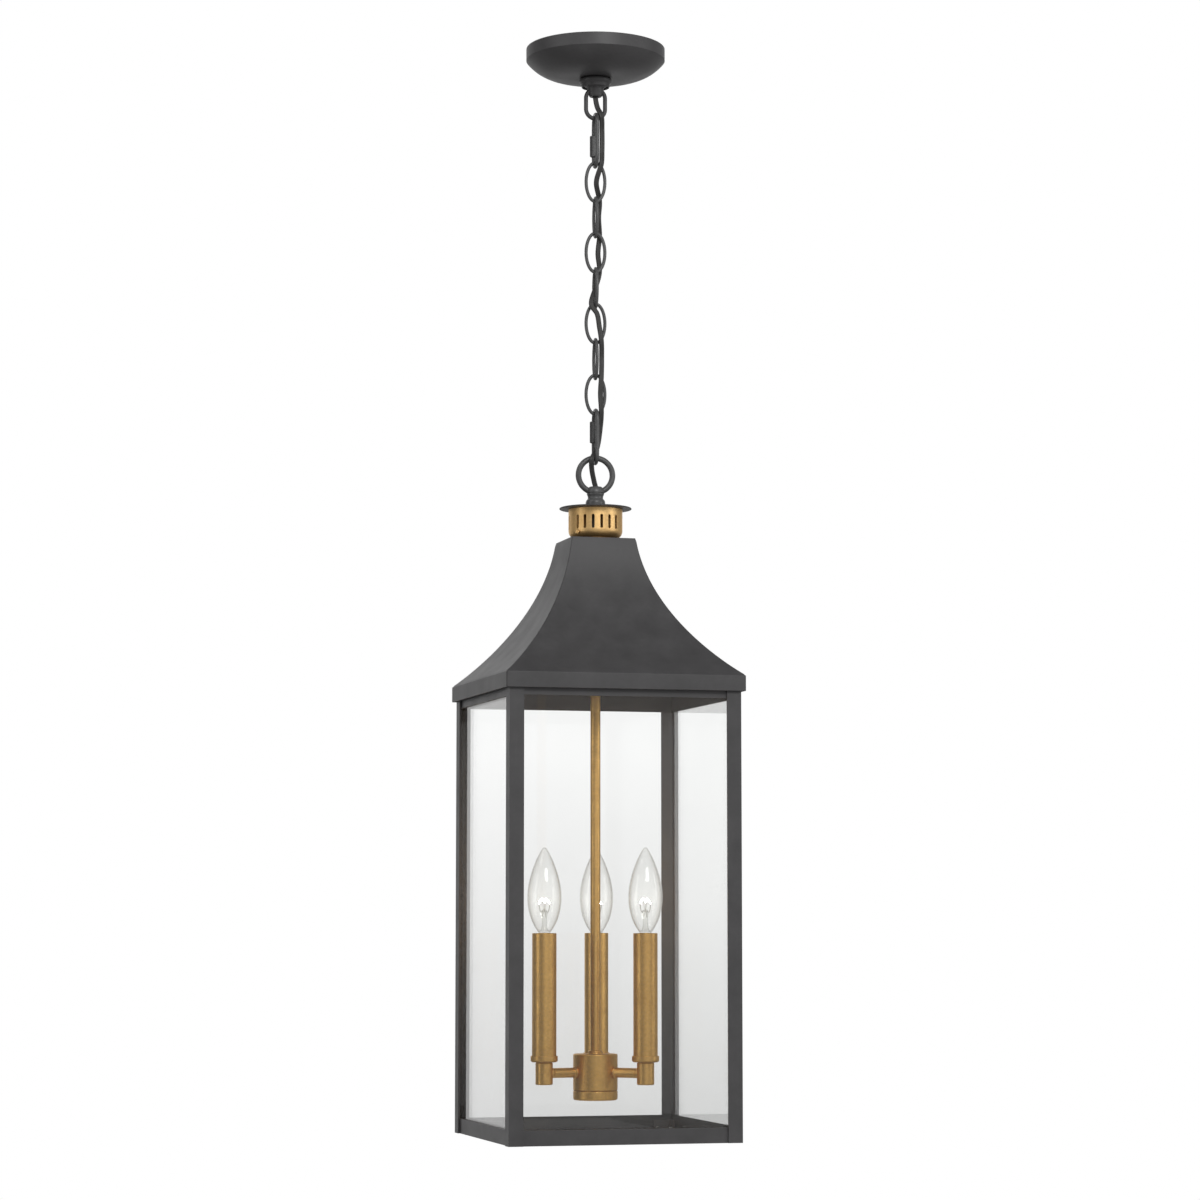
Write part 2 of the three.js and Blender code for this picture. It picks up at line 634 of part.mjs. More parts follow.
// The lamp socket: a deep cup for the screw base on a narrower post, with a stud into the knuckle.
const BASE_R = 5.8;
const BASE_LONG = 19;
const SOCKET_TOP = COVER_TOP - 1.5;
function socket(angleDeg) {
  const [x, y] = polar(ARM_REACH, angleDeg);
  const floor = SOCKET_TOP - BASE_LONG - 5;
  return turned([
    [0, ARM_Z + 1], [STUD_R - 0.1, ARM_Z + 1], [STUD_R - 0.1, COVER_BOTTOM], [8.6, COVER_BOTTOM],
    [8.6, COVER_BOTTOM + 2], [4.4, COVER_BOTTOM + 4], [4.4, floor - 8], [9.2, floor - 4], [9.2, SOCKET_TOP],
    [BASE_R + 0.6, SOCKET_TOP], [BASE_R + 0.6, floor], [0, floor],
  ], 12).translate([x, y, 0]);
}

// The lamp's screw base, with shallow thread ridges and a contact button below.
const BASE_TOP = COVER_TOP + 0.4;
function bulbBase(angleDeg) {
  const [x, y] = polar(ARM_REACH, angleDeg);
  const low = BASE_TOP - BASE_LONG;
  const outline = [[0, low - 2], [1.8, low - 2], [3.4, low - 0.6], [BASE_R - 0.8, low]];
  for (let i = 0; i < 3; i += 1) {
    outline.push([BASE_R, low + 2 + 4 * i], [BASE_R - 0.6, low + 4 + 4 * i]);
  }
  outline.push([BASE_R - 0.2, low + 14], [BASE_R - 0.2, BASE_TOP], [0, BASE_TOP]);
  return turned(outline, 12).translate([x, y, 0]);
}

// The flame-shaped envelope, open at the neck, as [radius, drop below the tip].
const ENVELOPE = [
  [0, 0], [1.8, 0.6], [3.3, 3], [7.6, 11.2], [10.3, 18], [13.4, 28.2], [15.5, 42], [15.2, 52.5],
  [12.8, 63.5], [9.2, 71.5], [6.3, 76],
];
function bulbEnvelope(angleDeg) {
  const [x, y] = polar(ARM_REACH, angleDeg);
  const neck = BASE_TOP + GAP;
  const outside = [...ENVELOPE.map(([r, drop]) => [r, BULB_TIP - drop]), [5.7, neck]];
  const inside = inset(outside, -BULB_WALL).slice(1, -1).filter(([r]) => r > 1);
  const tipInside = [0, BULB_TIP - 2 * BULB_WALL];
  const outline = [...outside, [5.7 - BULB_WALL, neck], ...inside.reverse(), tipInside];
  return turned(outline, 14).translate([x, y, 0]);
}

// ---- assembly ----
add("crossbar", crossbar(), zinc);
add("crossbar_screw_left", crossbarScrew(-SCREW_X), zinc);
add("crossbar_screw_right", crossbarScrew(SCREW_X), zinc);
add("ceiling_nipple", pipe(NIPPLE_BOTTOM, -0.2), zinc);
add("crossbar_lock_nut", lockNut(-CROSSBAR[2] - GAP), zinc);
add("canopy_loop", canopyLoop(), paint);
add("canopy_shell", canopyShell(), paint);
add("canopy_collar_ring", collarRing(), paint);

for (const piece of hangingPieces()) {
  add(piece.name, hung(wireOval(piece)), paint);
}
const [firstQuick] = hangingPieces();
const lastQuick = hangingPieces()[LINK_COUNT + 1];
add("quick_link_top_sleeve", hung(linkSleeve((firstQuick.top + firstQuick.bottom) / 2 - 3.6)), paint);
add("quick_link_bottom_sleeve", hung(linkSleeve((lastQuick.top + lastQuick.bottom) / 2 + 5.5)), paint);
add("chain_cord", hung(tubeAlong(cordPoints(), ...CORD_HALF, 62)), cordCover);

add("suspension_ring", suspensionRing(), paint);
add("cap_disc", capDisc(), paint);
add("gallery", gallery(), gilt);
add("gallery_screw", galleryScrew(), gilt);
add("roof", roof(), paint);
add("lantern_nipple", pipe(NIPPLE_LOW, CAP_DISC_TOP + 4), zinc);
add("roof_lock_nut", lockNut(ROOF_TOP - ROOF_WALL - GAP), zinc);

add("post_front_left", post(-1, -1), paint);
add("post_front_right", post(1, -1), paint);
add("post_back_left", post(-1, 1), paint);
add("post_back_right", post(1, 1), paint);
add("top_rails", angleRing(TOP_RAIL_BOTTOM, POST_TOP, "top", LEDGE), paint);
add("base_rails", angleRing(BASE_BOTTOM, BASE_RAIL_TOP, "bottom", LEDGE), paint);
for (const side of ["front", "back", "left", "right"]) {
  add(`glass_${side}`, pane(side), glass);
}

add("stem", stem(), brass);
add("stem_cord", rod(2, HUB_TOP - 14, CAP_DISC_TOP + 3.5, 0, 0, 10), cordCover);
add("hub_body", hubBody(), brass);
add("hub_cap", hubCap(), brass);
for (const [side, angle] of Object.entries(ARM_ANGLES)) {
  add(`arm_${side}`, arm(angle), brass);
  add(`candle_cup_${side}`, cup(angle), brass);
  add(`candle_cover_${side}`, candleCover(angle), brass);
  add(`socket_${side}`, socket(angle), phenolic);
  add(`bulb_base_${side}`, bulbBase(angle), brass);
  add(`bulb_glass_${side}`, bulbEnvelope(angle), bulbGlass);
}

export default group;
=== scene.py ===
import json
from math import atan2, copysign, cos, degrees, hypot, pi, radians, sin, sqrt

import bmesh
import bpy
from mathutils import Matrix, Vector


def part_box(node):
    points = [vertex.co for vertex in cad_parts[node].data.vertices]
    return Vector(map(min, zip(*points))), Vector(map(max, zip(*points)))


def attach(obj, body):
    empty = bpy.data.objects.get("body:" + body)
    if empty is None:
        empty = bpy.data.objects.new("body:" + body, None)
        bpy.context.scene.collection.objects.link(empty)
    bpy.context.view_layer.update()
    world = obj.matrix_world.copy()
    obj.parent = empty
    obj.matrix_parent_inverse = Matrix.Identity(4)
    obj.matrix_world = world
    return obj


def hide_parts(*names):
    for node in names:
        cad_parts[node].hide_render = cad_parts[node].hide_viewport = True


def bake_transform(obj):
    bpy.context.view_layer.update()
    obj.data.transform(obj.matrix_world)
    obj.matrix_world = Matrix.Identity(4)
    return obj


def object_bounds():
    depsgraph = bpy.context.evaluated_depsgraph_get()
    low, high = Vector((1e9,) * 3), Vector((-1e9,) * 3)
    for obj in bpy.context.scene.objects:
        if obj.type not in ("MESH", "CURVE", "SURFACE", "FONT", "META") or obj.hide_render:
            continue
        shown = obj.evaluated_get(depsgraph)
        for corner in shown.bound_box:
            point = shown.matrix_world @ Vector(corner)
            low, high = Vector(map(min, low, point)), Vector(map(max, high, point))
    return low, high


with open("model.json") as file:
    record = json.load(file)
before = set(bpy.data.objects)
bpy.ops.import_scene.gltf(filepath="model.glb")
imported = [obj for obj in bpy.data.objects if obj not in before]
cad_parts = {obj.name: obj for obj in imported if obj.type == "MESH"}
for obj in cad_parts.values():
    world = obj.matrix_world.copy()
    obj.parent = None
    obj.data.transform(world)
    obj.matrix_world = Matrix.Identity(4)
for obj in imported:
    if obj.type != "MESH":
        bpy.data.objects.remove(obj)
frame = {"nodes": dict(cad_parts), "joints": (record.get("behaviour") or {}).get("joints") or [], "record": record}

MM = 0.001
NODES = frame["nodes"]
CAD_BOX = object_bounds()
BODY_OF = {node: body for body, nodes in frame["record"]["behaviour"]["bodies"].items() for node in nodes}


def low_high(node):
    """A CAD node's lowest and highest corners, in millimetres."""
    low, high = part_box(node)
    return low / MM, high / MM


def axis_of(node):
    """Where a node's own upright axis stands, as (x, y) in millimetres."""
    low, high = low_high(node)
    return (low.x + high.x) / 2, (low.y + high.y) / 2


def linked(name, data):
    """A new object in the scene around a mesh, a light or a camera."""
    obj = bpy.data.objects.new(name, data)
    bpy.context.scene.collection.objects.link(obj)
    return obj


# ---- camera

def make_camera():
    data = bpy.data.cameras.new("photo_camera")
    data.lens, data.sensor_width = 101.0, 36.0
    camera = linked("photo_camera", data)
    turn, pitch = radians(15.083), radians(5.525)
    forward = Vector((sin(turn) * cos(pitch), cos(turn) * cos(pitch), sin(pitch)))
    camera.location = (-0.8023, -2.9932, -0.8194)
    camera.rotation_mode = "QUATERNION"
    camera.rotation_quaternion = forward.to_track_quat("-Z", "Y")
    bpy.context.scene.camera = camera


make_camera()


# ---- materials

class Nodes:
    """A node tree, with short ways to add and join its nodes."""

    def __init__(self, owner, output):
        owner.use_nodes = True
        self.owner, self.tree = owner, owner.node_tree
        self.tree.nodes.clear()
        self.output = self.add(output)

    def add(self, kind, **inputs):
        node = self.tree.nodes.new("ShaderNode" + kind)
        for key, value in inputs.items():
            self.join(value, node.inputs[key.replace("_", " ")])
        return node

    def join(self, value, socket):
        if isinstance(value, bpy.types.NodeSocket):
            self.tree.links.new(value, socket)
        else:
            socket.default_value = value

    def ramp(self, value, low, high, to_low=0.0, to_high=1.0, smooth=False):
        node = self.add("MapRange", Value=value)
        if smooth:
            node.interpolation_type = "SMOOTHSTEP"
        for socket, number in zip(("From Min", "From Max", "To Min", "To Max"), (low, high, to_low, to_high)):
            node.inputs[socket].default_value = number
        return node.outputs["Result"]

    def math(self, operation, a, b=0.0):
        node = self.add("Math")
        node.operation = operation
        self.join(a, node.inputs[0])
        self.join(b, node.inputs[1])
        return node.outputs[0]

    def times(self, a, b):
        return self.math("MULTIPLY", a, b)

    def surface(self, shader):
        self.tree.links.new(shader, self.output.inputs["Surface"])
        return self.owner


class Shader(Nodes):
    """A material's node tree."""

    def __init__(self, name):
        super().__init__(bpy.data.materials.new(name), "OutputMaterial")
        self.place = self.add("TexCoord").outputs["Object"]

    def scaled(self, x, y, z):
        node = self.add("Mapping", Vector=self.place)
        node.inputs["Scale"].default_value = (x, y, z)
        return node.outputs["Vector"]

    def noise(self, scale, detail=3.0, rough=0.5, at=None, warp=0.0):
        node = self.add(
            "TexNoise", Vector=at or self.place, Scale=scale, Detail=detail, Roughness=rough,
            Distortion=warp,
        )
        return node.outputs["Fac"]

    def mix(self, share, a, b):
        node = self.add("Mix")
        node.data_type = "RGBA"
        self.join(share, node.inputs[0])
        self.join(a, node.inputs[6])
        self.join(b, node.inputs[7])
        return node.outputs[2]

    def mix_shaders(self, share, a, b):
        node = self.add("MixShader")
        self.join(share, node.inputs[0])
        self.join(a.outputs[0], node.inputs[1])
        self.join(b.outputs[0], node.inputs[2])
        return node.outputs[0]

    def principled(self, colour, rough, normal, metallic=0.0):
        shader = self.add(
            "BsdfPrincipled", Base_Color=colour, Roughness=rough, Normal=normal, Metallic=metallic,
        )
        return self.surface(shader.outputs[0])

    def edges(self, radius, low=0.02, high=0.25):
        """1 on outer and inner edges sharper than a radius in millimetres, 0 on flats."""
        bevel = self.add("Bevel", Radius=radius * MM)
        bevel.samples = 4
        normal = self.add("NewGeometry").outputs["Normal"]
        dot = self.add("VectorMath")
        dot.operation = "DOT_PRODUCT"
        self.join(bevel.outputs["Normal"], dot.inputs[0])
        self.join(normal, dot.inputs[1])
        return self.ramp(self.math("SUBTRACT", 1.0, dot.outputs["Value"]), low, high)

    def bump(self, height, distance, strength=1.0, before=None):
        node = self.add("Bump", Height=height, Distance=distance * MM, Strength=strength)
        if before is not None:
            self.join(before, node.inputs["Normal"])
        return node.outputs["Normal"]


def rgb(hex_colour):
    """A display colour such as #4b4b4a as the linear colour the shaders use."""
    def linear(value):
        return value / 12.92 if value <= 0.04045 else ((value + 0.055) / 1.055) ** 2.4
    return tuple(linear(int(hex_colour[i:i + 2], 16) / 255) for i in (1, 3, 5)) + (1.0,)


def tinted(colour, factor, lift=0.0):
    """A colour made lighter or darker."""
    return [min(c * factor + lift, 1) for c in colour[:3]] + [1]


def painted_metal(name, colour, worn, roughness=0.5, peel=0.03, mottle=0.16):
    """Baked satin paint: faint mottling, a fine orange-peel skin and lightly rubbed edges."""
    s = Shader(name)
    clouds = s.noise(38, 4, 0.55)
    grime = s.noise(210, 5, 0.6)
    body = s.mix(s.ramp(clouds, 0.3, 0.7), tinted(colour, 1 - mottle), tinted(colour, 1 + mottle))
    body = s.mix(s.times(s.ramp(grime, 0.45, 0.75), 0.25), body, tinted(colour, 0.72))
    rubbed = s.times(s.edges(0.5), s.ramp(s.noise(330, 4, 0.65), 0.42, 0.62))
    body = s.mix(s.times(rubbed, 0.45), body, worn)
    rough = s.ramp(clouds, 0.25, 0.75, roughness - 0.06, roughness + 0.06)
    rough = s.math("ADD", rough, s.times(rubbed, -0.08))
    fine = s.bump(s.noise(1500, 2, 0.5), peel, 0.5)
    skin = s.bump(grime, peel, 0.3, fine)
    return s.principled(body, rough, skin)


def aged_metal(name, colour, patina, roughness=0.36, patina_share=0.35, lines=(1, 1, 60)):
    """Brushed brass under a thin toned lacquer: patina clouds, fine brushing, brighter edges."""
    s = Shader(name)
    clouds = s.noise(46, 5, 0.6, warp=0.4)
    specks = s.noise(420, 4, 0.6)
    body = s.mix(s.ramp(specks, 0.3, 0.7), tinted(colour, 0.88), tinted(colour, 1.12))
    toned = s.times(s.ramp(clouds, 0.4, 0.72), patina_share)
    body = s.mix(toned, body, patina)
    bright = s.times(s.edges(0.4), s.ramp(specks, 0.3, 0.6))
    body = s.mix(s.times(bright, 0.35), body, tinted(colour, 1.35))
    brushed = s.noise(60, 3, 0.6, at=s.scaled(*lines))
    rough = s.ramp(clouds, 0.3, 0.75, roughness - 0.05, roughness + 0.08)
    rough = s.math("ADD", rough, s.ramp(brushed, 0.3, 0.7, -0.04, 0.04))
    return s.principled(body, rough, s.bump(brushed, 0.02, 0.35), metallic=1.0)


def moulded(name, colour, roughness=0.5, grain=0.05, scale=900):
    """Plastic, rubber or phenolic, with a fine moulded grain and a little dust."""
    s = Shader(name)
    dust_and_shade = s.noise(70, 4, 0.6)
    body = s.mix(s.ramp(dust_and_shade, 0.35, 0.75), colour, tinted(colour, 1.5, 0.008))
    rough = s.ramp(dust_and_shade, 0.3, 0.7, roughness - 0.06, roughness + 0.08)
    skin = s.bump(s.noise(scale, 2, 0.5), grain, 0.4)
    return s.principled(body, rough, skin)


def clear_glass(name, tint, edge_tint, wave=0.02, haze=0.0, dust_and_shade=None, lit=None):
    """Clear sheet: light passes straight through, darker where it is seen along the sheet.
    The downward darkening is given as a height range in metres and its strength: painted shade, deepening toward
    the bottom.
    lit is the height of a filament behind the glass, how far its light carries, and how strongly it shows."""
    s = Shader(name)
    ripple = s.bump(s.noise(9, 2, 0.4), wave, 0.6)
    smudge = s.noise(14, 4, 0.6)
    along = s.add("LayerWeight", Blend=0.25).outputs["Facing"]
    clean = s.mix(s.math("POWER", along, 2.0), tint, edge_tint)
    clean = s.mix(s.times(s.ramp(smudge, 0.45, 0.8), haze), clean, tinted(tint, 0.93))
    up = s.add("SeparateXYZ", Vector=s.place).outputs["Z"]
    # painted shade: the glass darkens toward the bottom over the given heights
    if dust_and_shade:
        high, low, strength = dust_and_shade
        clean = s.mix(s.times(s.ramp(up, high, low), strength), clean, (0.0, 0.0, 0.0, 1))
    through = s.add("BsdfTransparent", Color=clean)
    mirror = s.add("BsdfGlossy", Color=(1, 1, 1, 1), Normal=ripple)
    mirror.inputs["Roughness"].default_value = 0.02
    facing = s.add("LayerWeight", Blend=0.5, Normal=ripple).outputs["Facing"]
    share = s.math("ADD", 0.025, s.times(0.975, s.math("POWER", facing, 5.0)))
    both = s.mix_shaders(share, through, mirror)
    if not lit:
        return s.surface(both)
    height, reach, strength = lit
    away = s.math("ABSOLUTE", s.math("SUBTRACT", up, height))
    shine = s.add("Emission", Color=(1.0, 0.95, 0.86, 1))
    s.join(s.times(s.ramp(away, reach, 0.0), strength), shine.inputs["Strength"])
    total = s.add("AddShader")
    s.join(both, total.inputs[0])
    s.join(shine.outputs[0], total.inputs[1])
    return s.surface(total.outputs[0])


def glowing(name, colour, strength):
    """Hot tungsten, its colour a little uneven along the coil."""
    s = Shader(name)
    hue = s.mix(s.noise(900, 2, 0.5), colour, tinted(colour, 1.2))
    return s.surface(s.add("Emission", Color=hue, Strength=strength).outputs[0])


PAINT = painted_metal("charcoal_paint", rgb("#434243"), rgb("#6d6b6a"))
CHAIN_PAINT = painted_metal("charcoal_paint_wire", rgb("#515151"), rgb("#807e7b"), 0.36, mottle=0.12)
BRASS = aged_metal("aged_brass", rgb("#e0b268"), rgb("#a67c3e"), 0.42, patina_share=0.28)
GALLERY_BRASS = aged_metal("gallery_brass", rgb("#e8c286"), rgb("#bd8d4c"), 0.46, patina_share=0.25)
CAP_BRASS = aged_metal("lamp_cap_brass", rgb("#cdb27c"), rgb("#8a7446"), 0.25, patina_share=0.2)
STEEL = aged_metal("plated_steel", rgb("#a9a9a6"), rgb("#77736a"), 0.34, patina_share=0.3, lines=(60, 1, 1))
# Painted shade on each pane: darker toward the bottom, by a different amount on each side as the light falls there
PANE_BOTTOM_SHADE = {
    "front": (-0.66, -1.0, 0.085), "back": (-0.66, -1.0, 0.085), "left": (-0.66, -0.98, 0.13),
    "right": (-0.8, -1.02, 0.07),
}
PANE_TINT, PANE_EDGE = (0.995, 0.997, 0.995, 1), (0.96, 0.965, 0.96, 1)
PANE_GLASS = {
    side: clear_glass(f"pane_glass_{side}", PANE_TINT, PANE_EDGE, haze=0.1, dust_and_shade=dust_and_shade)
    for side, dust_and_shade in PANE_BOTTOM_SHADE.items()
}
FILAMENT_HEIGHT = (low_high("bulb_glass_left")[1].z - 49) * MM
BULB_GLASS = clear_glass("bulb_glass", (0.985, 0.985, 0.98, 1), (0.42, 0.38, 0.33, 1), wave=0.004,
                         lit=(FILAMENT_HEIGHT, 0.034, 0.035))
STEM_GLASS = clear_glass("lamp_stem_glass", (0.93, 0.93, 0.92, 1), (0.3, 0.28, 0.25, 1), wave=0.01)
CORD = moulded("cord_jacket", rgb("#2b2a29"), roughness=0.52, grain=0.06, scale=700)
PHENOLIC = moulded("socket_phenolic", rgb("#1d1c1b"), roughness=0.42)
FILAMENT = glowing("hot_filament", (1.0, 0.80, 0.55, 1), 160.0)
LEAD_WIRE = aged_metal("lamp_wire", rgb("#b8b0a2"), rgb("#7d776c"), roughness=0.3, patina_share=0.1)


# ---- shapes

def circle(radius, count):
    """Points (x, y) evenly round a circle."""
    angles = [2 * pi * k / count for k in range(count)]
    return [(radius * cos(angle), radius * sin(angle)) for angle in angles]


def soften(outline, radius, closed=False, steps=3):
    """An outline of [a, b] points with each corner rounded off, as far as its two sides allow."""
    points = [Vector(p) for p in outline]
    count = len(points)
    made = []
    for i, point in enumerate(points):
        if not closed and i in (0, count - 1):
            made.append(point)
            continue
        before = points[i - 1] - point
        after = points[(i + 1) % count] - point
        turn = before.angle(after, pi) if before.length > 1e-9 and after.length > 1e-9 else pi
        reach = min(radius, before.length * 0.45, after.length * 0.45)
        if turn > radians(172) or reach < 1e-4:
            made.append(point)
            continue
        a = point + before.normalized() * reach
        b = point + after.normalized() * reach
        for k in range(steps + 1):
            t = k / steps
            made.append(a * (1 - t) ** 2 + point * 2 * t * (1 - t) + b * t ** 2)
    return [tuple(p) for p in made]


def revolve(outline, segments=64, centre=(0, 0), closed=False):
    """Vertices and faces of an outline of [radius, z] turned about the Z axis."""
    verts, rings, faces = [], [], []
    for r, z in outline:
        if abs(r) < 1e-6:
            rings.append([len(verts)] * segments)
            verts.append((centre[0], centre[1], z))
            continue
        rings.append(list(range(len(verts), len(verts) + segments)))
        verts += [(centre[0] + x, centre[1] + y, z) for x, y in circle(r, segments)]
    pairs = list(zip(rings, rings[1:]))
    if closed:
        pairs.append((rings[-1], rings[0]))
    for lower, upper in pairs:
        for k in range(segments):
            n = (k + 1) % segments
            face = [lower[k], lower[n], upper[n], upper[k]]
            face = [v for i, v in enumerate(face) if v != face[i - 1]]
            if len(face) > 2:
                faces.append(face)
    return verts, faces


def lathed(outline, rounding, segments, centre=(0, 0), steps=3):
    """An outline that closes on itself, its corners rounded, turned about an upright axis."""
    return revolve(soften(outline, rounding, closed=True, steps=steps), segments, centre, closed=True)


def tube_faces(rows, around, closed=False):
    """Quads between rows of points, where each row goes once round with the same number of points."""
    faces = []
    for i in range(rows if closed else rows - 1):
        j = (i + 1) % rows
        for k in range(around):
            n = (k + 1) % around
            faces.append([i * around + k, i * around + n, j * around + n, j * around + k])
    return faces


def end_caps(rows, around):
    """The two faces that close the ends of such rows."""
    return [list(range(around))[::-1], list(range((rows - 1) * around, rows * around))]


def prism(corners, low, high):
    """An upright prism over flat corners (x, y)."""
    verts = [(x, y, z) for z in (low, high) for x, y in corners]
    count = len(corners)
    return verts, [face[::-1] for face in end_caps(2, count)] + tube_faces(2, count)


def frames_along(points, closed=False, up=(0, 0, 1)):
    """For each point of a path, the two directions across it, carried along without twist."""
    points = [Vector(p) for p in points]
    count = len(points)
    tangents = []
    for i in range(count):
        a = points[i - 1] if closed or i > 0 else points[i]
        b = points[(i + 1) % count] if closed or i < count - 1 else points[i]
        tangents.append((b - a).normalized())
    side = Vector(up) - tangents[0] * tangents[0].dot(Vector(up))
    if side.length < 1e-3:
        side = Vector((1, 0, 0)) - tangents[0] * tangents[0].x
    side.normalize()
    made = []
    for i, tangent in enumerate(tangents):
        if i:
            side = side - tangent * tangent.dot(side)
            side.normalize()
        made.append((side.copy(), tangent.cross(side)))
    return made


def sweep(points, section, closed=False, up=(0, 0, 1), grow=None):
    """A section of [a, b] points swept along a path. grow gives a size factor for each point."""
    verts = []
    for i, (point, (a_dir, b_dir)) in enumerate(zip(points, frames_along(points, closed, up))):
        size = grow[i] if grow else 1.0
        for a, b in section:
            verts.append(tuple(Vector(point) + a_dir * a * size + b_dir * b * size))
    faces = tube_faces(len(points), len(section), closed)
    if not closed:
        faces += end_caps(len(points), len(section))
    return verts, faces


def evenly(points, count, closed=False):
    """A path with its points spread evenly along it."""
    line = [Vector(p) for p in points]
    if closed:
        line.append(line[0])
    lengths = [0.0]
    for a, b in zip(line, line[1:]):
        lengths.append(lengths[-1] + (b - a).length)
    made, at = [], 0
    for k in range(count):
        want = lengths[-1] * k / (count if closed else count - 1)
        while at < len(line) - 2 and lengths[at + 1] < want:
            at += 1
        share = (want - lengths[at]) / max(lengths[at + 1] - lengths[at], 1e-9)
        made.append(line[at].lerp(line[at + 1], min(share, 1.0)))
    return made


def catmull(points, per_span=14):
    """A centripetal curve through the points."""
    pts = [Vector(p) for p in points]
    made = []
    for i in range(len(pts) - 1):
        p1, p2 = pts[i], pts[i + 1]
        p0 = pts[i - 1] if i else p1 + (p1 - p2)
        p3 = pts[i + 2] if i + 2 < len(pts) else p2 + (p2 - p1)
        d0 = max((p1 - p0).length ** 0.5, 1e-4)
        d1 = max((p2 - p1).length ** 0.5, 1e-4)
        d2 = max((p3 - p2).length ** 0.5, 1e-4)
        t1 = ((p1 - p0) / d0 - (p2 - p0) / (d0 + d1) + (p2 - p1) / d1) * d1
        t2 = ((p2 - p1) / d1 - (p3 - p1) / (d1 + d2) + (p3 - p2) / d2) * d1
        for k in range(per_span):
            t = k / per_span
            made.append(
                p1 * (2 * t ** 3 - 3 * t ** 2 + 1) + t1 * (t ** 3 - 2 * t ** 2 + t)
                + p2 * (-2 * t ** 3 + 3 * t ** 2) + t2 * (t ** 3 - t ** 2)
            )
    made.append(pts[-1])
    return made


def aimed(verts, angle, out, z):
    """Vertices of an upright shape laid on its side, pointing away from the Z axis at an angle."""
    turn = Matrix.Rotation(angle, 4, "Z") @ Matrix.Rotation(pi / 2, 4, "Y")
    shift = Vector((out * cos(angle), out * sin(angle), z))
    return [tuple(turn @ Vector(v) + shift) for v in verts]


def bevel(obj, width):
    modifier = obj.modifiers.new("edge_rounding", "BEVEL")
    modifier.width = width * MM
    modifier.segments = 2
    modifier.limit_method = "ANGLE"
    modifier.angle_limit = radians(30)
    modifier.harden_normals = False
    modifier.use_clamp_overlap = True


def merged(*shapes):
    """Several (vertices, faces) pairs as one."""
    verts, faces = [], []
    for v, f in shapes:
        base = len(verts)
        verts.extend(v)
        faces.extend([[i + base for i in face] for face in f])
    return verts, faces


def piece(name, shape, material, body, replaces=(), sharp=50, weighted=True):
    """A mesh object made from millimetre vertices. It rides on a body, and may stand in for CAD nodes."""
    verts, faces = shape
    mesh = bpy.data.meshes.new(name)
    mesh.from_pydata([tuple(Vector(v) * MM) for v in verts], [], faces)
    work = bmesh.new()
    work.from_mesh(mesh)
    bmesh.ops.remove_doubles(work, verts=work.verts, dist=1e-7)
    bmesh.ops.recalc_face_normals(work, faces=work.faces)
    for face in work.faces:
        face.smooth = True
    for edge in work.edges:
        if len(edge.link_faces) == 2:
            edge.smooth = edge.calc_face_angle(0) < radians(sharp)
    work.to_mesh(mesh)
    work.free()
    mesh.materials.append(material)
    obj = linked(name, mesh)
    if weighted:
        modifier = obj.modifiers.new("even_shading", "WEIGHTED_NORMAL")
        modifier.keep_sharp = True
        modifier.weight = 100
    if body:
        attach(obj, body)
    if replaces:
        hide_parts(*([replaces] if isinstance(replaces, str) else replaces))
    return obj


# ---- chain and cord

CHAIN = ["quick_link_top"] + [f"chain_link_{i}" for i in range(1, 8)] + ["quick_link_bottom"]
PIVOT_Z = {j["child"]: j["pos_m"][2] / MM for j in frame["joints"] if "pos_m" in j}
QUICK_SIZE = (1.8, 15.4, 46.0)  # radius of the wire, then inner width and length
LINK_SIZE = (1.55, 14.7, 33.8)
CHAIN_TURN = radians(-4.5)  # the chain, its loop and its ring hang turned a little about Z


def hung(shape):
    """A shape turned about Z with the chain."""
    turn = Matrix.Rotation(CHAIN_TURN, 3, "Z")
    verts, faces = shape
    return [tuple(turn @ Vector(v)) for v in verts], faces


def chain_pieces():
    """Each hanging piece as a dict, with the heights of its wire's middle at the top and the bottom."""
    made = []
    for i, (name, below) in enumerate(zip(CHAIN, CHAIN[1:] + ["lantern"])):
        quick = name.startswith("quick")
        wire, width, length = QUICK_SIZE if quick else LINK_SIZE
        bottom = PIVOT_Z[below]
        made.append({
            "name": name, "quick": quick, "wire": wire, "width": width, "length": length,
            "facing": "x" if i % 2 else "y", "top": bottom + length + 2 * wire, "bottom": bottom,
        })
    return made


def link_path(width, length, top, facing, ellipse, steps=100):
    """The middle line of a link: an ellipse, or straight legs with round ends."""
    a, b = width / 2, length / 2
    points = []
    for k in range(400):
        angle = 2 * pi * (k + 0.5) / 400
        across, along = a * cos(angle), sin(angle)
        along = b * along if ellipse else a * along + copysign(b - a, along)
        x, y = (across, 0) if facing == "x" else (0, across)
        points.append((x, y, top - b + along))
    return evenly(points, steps, closed=True)


SEAM = [(-0.5, 1.0), (-0.22, 0.985), (-0.1, 0.9), (0.1, 0.9), (0.22, 0.985), (0.5, 1.0)]


def link_shape(info, seam_side):
    """A wire link with its butt joint, a fine groove across the wire halfway down one leg."""
    wire, top, facing = info["wire"], info["top"], info["facing"]
    path = link_path(info["width"] + 2 * wire, info["length"] + 2 * wire, top, facing, not info["quick"])
    middle_z = top - info["length"] / 2 - wire
    axis = 0 if facing == "x" else 1
    on_leg = [i for i, point in enumerate(path) if point[axis] * seam_side > 0]
    seam = min(on_leg, key=lambda i: abs(path[i][2] - middle_z))
    along = (path[(seam + 1) % len(path)] - path[seam - 1]).normalized()
    dense, grow = [], []
    for i, point in enumerate(path):
        # close rings, thinner in the middle, make the groove
        for shift, size in SEAM if i == seam else [(0.0, 1.0)]:
            dense.append(point + along * shift)
            grow.append(size)
    across = (0, 1, 0) if facing == "x" else (1, 0, 0)
    return sweep(dense, circle(wire, 18), closed=True, up=across, grow=grow)


